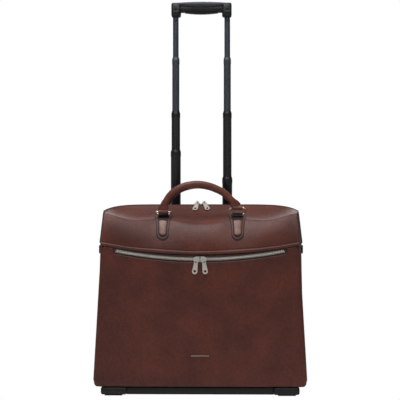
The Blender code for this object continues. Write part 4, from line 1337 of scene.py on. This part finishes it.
def handle_line(kind):
    """A smooth curve through a handle's marks, and the bars that its two ends are folded round."""
    left, right = (ring_bars(kind, sign, label)[0] for sign, label in SIDES)
    arch = [(left.x, left.z + 0.0030), (left.x + 0.0004, left.z + 0.0085)]
    arch += HANDLE_ARCH if kind == "front" else HANDLE_ARCH[1:]  # the rear rings stand above the first mark
    arch += [(right.x - 0.0042, right.z + 0.0062), (right.x - 0.0014, right.z + 0.0022)]
    marks = []
    for x, z in arch:
        share = (x + HANDLE_X) / (2 * HANDLE_X)
        marks.append(Vector((x, left.y + (right.y - left.y) * share, z)))
    line = []
    for p0, p1, p2, p3 in zip(marks[:1] + marks, marks, marks[1:], marks[2:] + marks[-1:]):
        for k in range(6):
            t = k / 6
            bend = (p0 * 2 - p1 * 5 + p2 * 4 - p3) * t * t + (p1 * 3 - p0 - p2 * 3 + p3) * t**3
            line.append((p1 * 2 + (p2 - p0) * t + bend) / 2)
    line.append(marks[-1])
    return line, left, right


def raise_seam(bm, line):
    """Lifts a ridge along a handle's underside, where the leather's two edges meet."""
    for vert in bm.verts:
        near = min(range(len(line)), key=lambda k: (line[k] - vert.co).length_squared)
        if near in (0, len(line) - 1):
            continue
        under = Vector((0, 1, 0)).cross((line[near + 1] - line[near - 1]).normalized())
        under = under if under.z < 0 else -under
        if (vert.co - line[near]).normalized().dot(under) > 0.975:
            vert.co += under * 0.0011


def carry_handles():
    """Leather rolled round a cord and closed on its underside; the ends are pressed flat round the rings."""
    for kind, facing in (("front", -1), ("rear", 1)):
        line, left, right = handle_line(kind)
        runs = run_lengths(line)

        def section(i, runs=runs):
            end = min(runs[i], runs[-1] - runs[i])
            flat = 1 - smooth(0.003, 0.018, end)
            slim = 0.0073 - 0.0007 * (1 - smooth(0.020, 0.070, end))
            return slim + 0.0036 * flat, slim - 0.0034 * flat

        bm = swept(line, section, False, Vector((0, 1, 0)), 24)
        raise_seam(bm, line)
        body = f"{kind}_handle"
        soften(piece(f"{body}_roll", bm, HANDLE_HIDE, body, (body,)))
        for label, centre in (("left", left), ("right", right)):
            fold = roll(WIRE + 0.0010, 0.0041, 0.0104, centre)
            piece(f"{body}_fold_{label}", fold, HANDLE_HIDE, body)
        side = Vector((0, facing, 0))
        for label, picks in (("left", range(2, 11)), ("right", range(len(line) - 11, len(line) - 2))):
            for across, mark in ((-1, "a"), (1, "b")):
                row = []
                for i in picks:
                    up = (line[i + 1] - line[i - 1]).normalized().cross(Vector((0, 1, 0)))
                    wide, thin = section(i)
                    row.append(line[i] + up * across * wide * 0.66 + side * thin * 0.76)
                name = f"{body}_stitches_{label}_{mark}"
                stitches(name, row, lambda p, side=side: side, body, 0.0030, 0.00034)


# ---- pull handle ------------------------------------------------------------------------------------
GRIP_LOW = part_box("grip_base")[0]
COVER_LOW, GRIP_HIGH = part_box("grip_cover")
GRIP_HALF = GRIP_HIGH.x
GRIP_MID_Y = (COVER_LOW.y + GRIP_HIGH.y) / 2


def pull_tubes():
    """Nested tubes: stages 2 to 4 have a pressed collar round the mouth and the others an eased rim, and each
    but the outer has a lock button in its front.
    """
    owners = {"stage4": None, "stage3": "stage3", "stage2": "stage2", "stage1": "pull_grip", "outer": "case"}
    for stage, owner in owners.items():
        for _, label in SIDES:
            node = f"{stage}_tube_{label}"
            low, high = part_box(node)
            body = owner or f"stage4_{label}"
            radius = (high.x - low.x) / 2
            centre = Vector(((low.x + high.x) / 2, (low.y + high.y) / 2, 0))
            bore = radius - 0.0009
            finish = ANODISED_SLIM if stage in ("stage1", "stage2") else ANODISED
            outline = [(bore, low.z), (radius - 0.0003, low.z), (radius, low.z + 0.0004)]
            if stage in ("stage1", "outer"):
                outline += [(radius, high.z - 0.0004), (radius - 0.0004, high.z), (bore, high.z)]
            else:  # a pressed collar steps in to the next tube
                collar = radius + 0.0004
                outline += [(radius, high.z - 0.0150), (collar, high.z - 0.0142), (collar, high.z - 0.0042)]
                outline += [(radius - 0.0002, high.z - 0.0030), (bore + 0.00015, high.z)]
                outline += [(bore, high.z - 0.0002)]
            pipe = turned(outline, centre, "Z", 48)
            piece(f"{stage}_pipe_{label}", pipe, finish, body, (node,), angle=30)
            if stage == "outer":
                continue
            drop = 0.0230 if stage == "stage1" else 0.0085
            button = bmesh.new()
            drum(button, (centre.x, low.y + 0.0002, high.z - drop), 0.0019, 0.0010, "Y", 20)
            rims = [edge for edge in button.edges if edge.calc_face_angle(0) > 0.8]
            bmesh.ops.bevel(
                button, geom=rims, offset=0.0003, segments=2, profile=0.5, affect="EDGES", material=-1
            )
            piece(f"{stage}_lock_button_{label}", button, ABS, body)


def round_square(turn, power):
    """A point of a circle pushed out towards a square: the lower the power, the squarer."""
    c, s = math.cos(turn), math.sin(turn)
    return math.copysign(abs(c) ** power[0], c), math.copysign(abs(s) ** power[1], s)


def cover_section(x):
    """The grip cover's top, bottom and half depth at x: bowed along its underside."""
    a = abs(x) / GRIP_HALF
    return GRIP_HIGH.z - 0.0030 * a**2, GRIP_HIGH.z - 0.0135 + 0.0060 * a**1.6, 0.0118 - 0.0020 * a**2


def core_section(x):
    return GRIP_HIGH.z - 0.0085, 0.8015 + 0.0012 * abs(x) / GRIP_HALF, 0.0092


def long_form(start, end, columns, around, section, power):
    """A rounded bar along X whose section(x) gives its top, bottom and half depth."""

    def place(column, row):
        x = start + (end - start) * row / columns
        top, bottom, deep = section(x)
        across, up = round_square(2 * math.pi * column / around, power)
        return Vector((x, GRIP_MID_Y + across * deep, (top + bottom) / 2 + up * (top - bottom) / 2))

    bm = sheet(around, columns, place)
    close_tube(bm, around)
    return bm


def grip():
    """The moulded grip: a bowed cover over a darker core, and a square shoulder on each tube."""
    bar_low, bar_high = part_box("release_squeeze_bar")
    half = GRIP_HALF - 0.003
    cover = long_form(-half, half, 36, 28, cover_section, (0.62, 0.62))
    piece("grip_cover", cover, ABS_GREY, "pull_grip", ("grip_cover",), angle=45)
    half = GRIP_HALF - 0.018
    core = long_form(-half, half, 36, 28, core_section, (0.62, 0.62))
    made = piece("grip_core", core, ABS, None, ("grip_base",), angle=45)
    room = 0.0006
    slot_low = (bar_low.x - room, bar_low.y - room, bar_low.z - 0.004)
    slot_high = (bar_high.x + room, bar_high.y + room, bar_high.z + 0.004)
    carve(made, [block_cutter(slot_low, slot_high)], 45)
    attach(made, "pull_grip")

    def bar_section(x):
        bottom = bar_low.z + 0.0026 * (abs(x) / bar_high.x) ** 2
        return bar_high.z, bottom, (bar_high.y - bar_low.y) / 2

    for sign, label in SIDES:
        grip_end(sign, label)
    bar = long_form(bar_low.x, bar_high.x, 24, 20, bar_section, (0.55, 0.6))
    piece("squeeze_bar", bar, ABS, "release_bar", ("release_squeeze_bar",), angle=45)


def grip_end(sign, label):
    """One end of the grip: its shoulder, a face plate with a screw, and a collar on the tube."""
    x0, x1 = sorted((sign * (GRIP_HALF - 0.0208), sign * GRIP_HALF))
    front = GRIP_LOW.y
    shoulder = rounded_block(
        (x0, front + 0.0004, GRIP_LOW.z), (x1, front + 0.0236, GRIP_HIGH.z - 0.0024), 0.0042, 4
    )
    piece(f"grip_shoulder_{label}", shoulder, ABS, "pull_grip", angle=50)
    x0, x1 = sorted((sign * (GRIP_HALF - 0.0040), sign * (GRIP_HALF - 0.0175)))
    plate = rounded_block(
        (x0, front - 0.0004, GRIP_LOW.z + 0.0095), (x1, front + 0.003, GRIP_HIGH.z - 0.0065), 0.0010, 2
    )
    face = piece(f"grip_face_{label}", plate, ABS_GREY, None, angle=50)
    low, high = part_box(f"grip_rivet_{label}")
    spot = (low + high) / 2
    carve(face, [drum_cutter((spot.x, front - 0.002, spot.z), 0.0028, 0.0050, "Y", 24)])
    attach(face, "pull_grip")
    collar = bmesh.new()
    drum(collar, (sign * 0.056, GRIP_MID_Y, GRIP_LOW.z + 0.0010), 0.0080, 0.0024, "Z", 40, 0.0090)
    piece(f"grip_collar_{label}", collar, ABS, "pull_grip")
    screw = bmesh.new()
    drum(screw, (spot.x, front + 0.0012, spot.z), 0.0022, 0.0014, "Y", 24)
    for cap in [face for face in screw.faces if face.normal.y < -0.9]:
        bmesh.ops.inset_individual(screw, faces=[cap], thickness=0.0006, depth=0.0)
        bmesh.ops.translate(screw, verts=cap.verts, vec=(0, 0.0004, 0))
    piece(f"grip_screw_{label}", screw, NICKEL, "pull_grip", (f"grip_rivet_{label}",))


# ---- base and wheels --------------------------------------------------------------------------------
def base_parts():
    """Moulded bar and pads under the front edge, wheel housings and wheels at the rear."""
    low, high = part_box("front_foot_bar")
    bar = rounded_block((-0.150, low.y + 0.004, 0.0024), (0.150, high.y - 0.006, high.z), 0.0030, 3)
    piece("foot_bar", bar, ABS, "case", ("front_foot_bar",))
    for sign, label in SIDES:
        x0, x1 = sorted((sign * 0.1475, sign * high.x))
        end = rounded_block((x0, low.y, 0.0022), (x1, high.y, high.z), 0.0045, 4)
        piece(f"foot_bar_end_{label}", end, ABS, "case")
        pad_low, pad_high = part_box(f"foot_pad_{label}")
        pad = rounded_block(pad_low, pad_high + Vector((0, 0, 0.0015)), 0.0008, 2)
        piece(f"foot_rubber_{label}", pad, RUBBER, "case", (f"foot_pad_{label}",))
        wheel(label)


def wheel(label):
    """A grooved rubber tyre on a spoked hub, on a pin across its moulded housing."""
    low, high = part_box(f"wheel_tyre_{label}")
    centre = (low + high) / 2
    radius = (high.z - low.z) / 2
    half = (high.x - low.x) / 2
    rim = radius - 0.0076  # where the tyre sits on the hub
    body = f"wheel_{label}"
    tread = [(rim, -half + 0.001), (radius - 0.0040, -half), (radius - 0.0012, -half + 0.0022)]
    for k in range(-2, 3):  # fine grooves round the tread
        x = k * 0.0034
        tread += [(radius, x - 0.0012), (radius, x + 0.0006), (radius - 0.0007, x + 0.0012)]
        tread += [(radius - 0.0007, x + 0.0016)]
    tread += [(radius - 0.0012, half - 0.0022), (radius - 0.0040, half), (rim, half - 0.001)]
    tyre = turned(tread, centre, "X", 64)
    piece(f"tyre_{label}", tyre, RUBBER, body, (f"wheel_tyre_{label}",), angle=30)
    side = [(0.0034, 0.001), (0.0062, 0.001), (0.0070, 0.003), (rim - 0.0030, 0.0034)]
    side += [(rim - 0.0022, 0.001), (rim - 0.0001, 0.001)]
    outline = [(r, deep - half) for r, deep in side] + [(r, half - deep) for r, deep in side[::-1]]
    hub = turned(outline, centre, "X", 48)
    hub = piece(f"hub_{label}", hub, ABS, None, (f"wheel_hub_{label}",), angle=30)
    holes = []
    for k in range(6):
        turn = math.radians(60 * k + 30)
        spot = centre + Vector((0, math.cos(turn), math.sin(turn))) * 0.0105
        holes.append(drum_cutter(spot, 0.0026, 0.05, "X", 20))
    carve(hub, holes, 35)
    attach(hub, body)
    arch = rounded_block(*HOUSINGS[label], 0.0050, 4)
    arch = piece(f"wheel_arch_{label}", arch, ABS, None, (f"wheel_housing_{label}",), angle=40)
    room = radius + 0.003
    well = drum_cutter(centre, room, 2 * half + 0.004, "X", 56)
    trough = block_cutter(
        (centre.x - half - 0.002, centre.y - room, -0.01), (centre.x + half + 0.002, 0.13, centre.z)
    )
    bore = drum_cutter(centre, 0.0034, 0.0385, "X", 28)
    carve(arch, [well, trough, bore], 40)
    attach(arch, "case")
    low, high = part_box(f"axle_{label}")
    pin = bmesh.new()
    drum(pin, centre, 0.0029, high.x - low.x, "X", 32)
    piece(f"axle_pin_{label}", pin, NICKEL, "case", (f"axle_{label}",))


# ---- small parts and the inside ---------------------------------------------------------------------
def small_parts():
    """The blank badge, the leather tabs that end the main zip, and the finishes of the plain parts."""
    low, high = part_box("front_badge")
    badge = rounded_block(low + Vector((0, 0, 0.0006)), high + Vector((0, 0.0004, -0.0006)), 0.0004, 2)
    piece("blank_badge", badge, WORN_NICKEL, "case", ("front_badge",))
    for sign, label in SIDES:
        low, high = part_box(f"zip_end_tab_{label}")
        inward = Vector((-sign * 0.0010, 0, 0))
        tab = rounded_block(low + inward + Vector((0, 0, 0.003)), high + inward, 0.0011, 3)
        piece(f"zip_end_leather_{label}", tab, EDGE_PAINT_AND_SHADE_HIDE, "case", (f"zip_end_tab_{label}",))
        x = high.x - 0.0009 if sign > 0 else low.x + 0.0009
        corners = ((-0.0078, 0.2990), (-0.0078, 0.2850), (0.0078, 0.2850), (0.0078, 0.2990))
        line = [Vector((x, y, z)) for y, z in corners]
        stitches(f"zip_end_stitches_{label}", line, sideways, "case", 0.003)
    for sign, label in SIDES:  # the main zip's tape is pinched over at each ear
        x0, x1 = sorted((sign * (EAR_HALF - 0.0034), sign * (EAR_HALF + 0.0016)))
        pinch = rounded_block((x0, -0.0052, EAR_Z - 0.0072), (x1, 0.0052, EAR_Z + 0.0012), 0.0015, 3)
        piece(f"ear_pinch_{label}", pinch, TAPE, "mouth_panel")
    finishes = {"tube_bezel": ABS, "tube_bracket": ABS, "tube_casing": LINING, "base_board": LINING}
    for node, own in frame["nodes"].items():
        finish = NICKEL if "slider" in node or "zip_pull" in node else finishes.get(node)
        if finish:
            own.data.materials.clear()
            own.data.materials.append(finish)


def divider():
    """A foam divider in lining cloth: plump in its middle, drawn in at its bound edges."""
    low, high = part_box("padded_divider")
    middle = (low + high) / 2
    half = (high - low) / 2
    bm = bmesh.new()
    bmesh.ops.create_cube(bm, size=2)
    bmesh.ops.subdivide_edges(bm, edges=bm.edges[:], cuts=18, use_grid_fill=True)
    for vert in bm.verts:
        x, y, z = vert.co
        plump = (1 - smooth(0.72, 1.0, abs(x)) * 0.45) * (1 - smooth(0.72, 1.0, abs(z)) * 0.45)
        quilt = 1 - 0.10 * abs(math.sin(math.pi * x * 4)) ** 12
        vert.co = middle + Vector((x * half.x, y * half.y * plump * quilt, z * half.z))
    pad = piece("divider_pad", bm, LINING, "case", ("padded_divider",))
    soften(pad)


def inner_lining():
    """Lining cloth inside the lower body, a little slack."""
    heights = [0.0, 0.004, 0.010] + [0.010 + 0.258 * k / 18 for k in range(1, 19)]
    levels = []
    for height in heights:
        z = 0.0262 + height
        w = half_width(z) - 0.0046
        level = []
        for flat in plan(w, SHELL_LOW.y + 0.0044, REAR_Y - 0.0046, 0.010):
            point = Vector((flat.x, flat.y, z))
            if abs(point.x) > w - 0.012:
                point.x -= math.copysign(0.0007 * ripple(point, 0.04, 8.0) + 0.0004, point.x)
            level.append(point)
        levels.append(level)
    bm = sheet(len(levels[0]) - 1, len(levels) - 1, lambda column, row: levels[row][column])
    bmesh.ops.remove_doubles(bm, verts=bm.verts, dist=1e-5)
    lining = piece("lining_cloth", bm, LINING, None)
    thick(lining, 0.0006)
    bake(lining)
    carve(lining, wheel_notches(0.005))
    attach(lining, "case")


lower_body()
front_pocket()
front_roof()
rear_roof()
rim_stitches()
mouth_bellows()
front_zip()
top_zip()
rings()
handle_tabs()
carry_handles()
pull_tubes()
grip()
base_parts()
small_parts()
divider()
inner_lining()


# ---- floor, light and camera ------------------------------------------------------------------------
def studio():
    """A white paper floor, a pale room and four soft lamps."""
    white = bpy.data.materials.new("paper_sweep_white")
    white.use_nodes = True
    tree = white.node_tree
    shader = tree.nodes["Principled BSDF"]
    shader.inputs["Base Color"].default_value = (0.82, 0.82, 0.82, 1)
    shader.inputs["Roughness"].default_value = 0.9
    # paper that the camera sees straight on burns out to white
    glow = add_node(tree, "ShaderNodeEmission", {"Color": (1, 1, 1, 1), "Strength": 1.0})
    seen = add_node(tree, "ShaderNodeLightPath").outputs["Is Camera Ray"]
    mixed = add_node(tree, "ShaderNodeMixShader", {0: seen, 1: shader.outputs[0], 2: glow.outputs[0]})
    tree.links.new(mixed.outputs[0], tree.nodes["Material Output"].inputs["Surface"])
    bm = bmesh.new()
    bmesh.ops.create_grid(bm, x_segments=1, y_segments=1, size=6.0)
    mesh = bpy.data.meshes.new("floor")
    bm.to_mesh(mesh)
    bm.free()
    mesh.materials.append(white)
    floor = bpy.data.objects.new("floor", mesh)
    bpy.context.scene.collection.objects.link(floor)

    world = bpy.data.worlds.new("studio")
    bpy.context.scene.world = world
    world.use_nodes = True
    tree = world.node_tree
    tree.nodes.clear()
    room = add_node(tree, "ShaderNodeBackground", {"Color": (0.95, 0.97, 1.0, 1), "Strength": 0.11})
    paper = add_node(tree, "ShaderNodeBackground", {"Color": (1, 1, 1, 1), "Strength": 1.0})
    seen = add_node(tree, "ShaderNodeLightPath").outputs["Is Camera Ray"]
    mixed = add_node(tree, "ShaderNodeMixShader", {0: seen, 1: room.outputs[0], 2: paper.outputs[0]})
    out = add_node(tree, "ShaderNodeOutputWorld")
    tree.links.new(mixed.outputs[0], out.inputs["Surface"])

    for name, place, aim, size, power in (  # power in watts
        ("overhead", (-0.26, -0.45, 2.1), (-0.05, 0, 0.3), (1.2, 0.8), 35),
        ("front_left", (-0.9, -2.2, 2.6), (0, 0, 0.25), (1.2, 0.9), 20),
        ("front_right", (0.9, -2.2, 2.6), (0, 0, 0.25), (1.2, 0.9), 17),
        ("behind", (0.3, 2.2, 1.6), (0, 0, 0.3), (1.6, 1.2), 16),
    ):
        lamp = bpy.data.lights.new(name, "AREA")
        lamp.shape = "RECTANGLE"
        lamp.size, lamp.size_y = size
        lamp.energy = power
        obj = bpy.data.objects.new(name, lamp)
        bpy.context.scene.collection.objects.link(obj)
        obj.location = place
        obj.rotation_euler = (Vector(aim) - Vector(place)).to_track_quat("-Z", "Y").to_euler()


def camera():
    """Level with the case's ridge, a touch to its right, and far enough back that its sides don't show."""
    back, aside, height = 2.2, 0.040, 0.3948
    case_width, share_of_view = 0.43, 0.535
    lens = bpy.data.cameras.new("camera")
    lens.sensor_width = 36
    lens.lens = lens.sensor_width * back * share_of_view / case_width
    eye = bpy.data.objects.new("camera", lens)
    eye.location = (aside, FRONT_Y - back, height)
    eye.rotation_euler = (math.pi / 2, 0, math.atan(aside / back))
    scene = bpy.context.scene
    scene.collection.objects.link(eye)
    scene.camera = eye
    scene.view_settings.view_transform = "Standard"


studio()
camera()
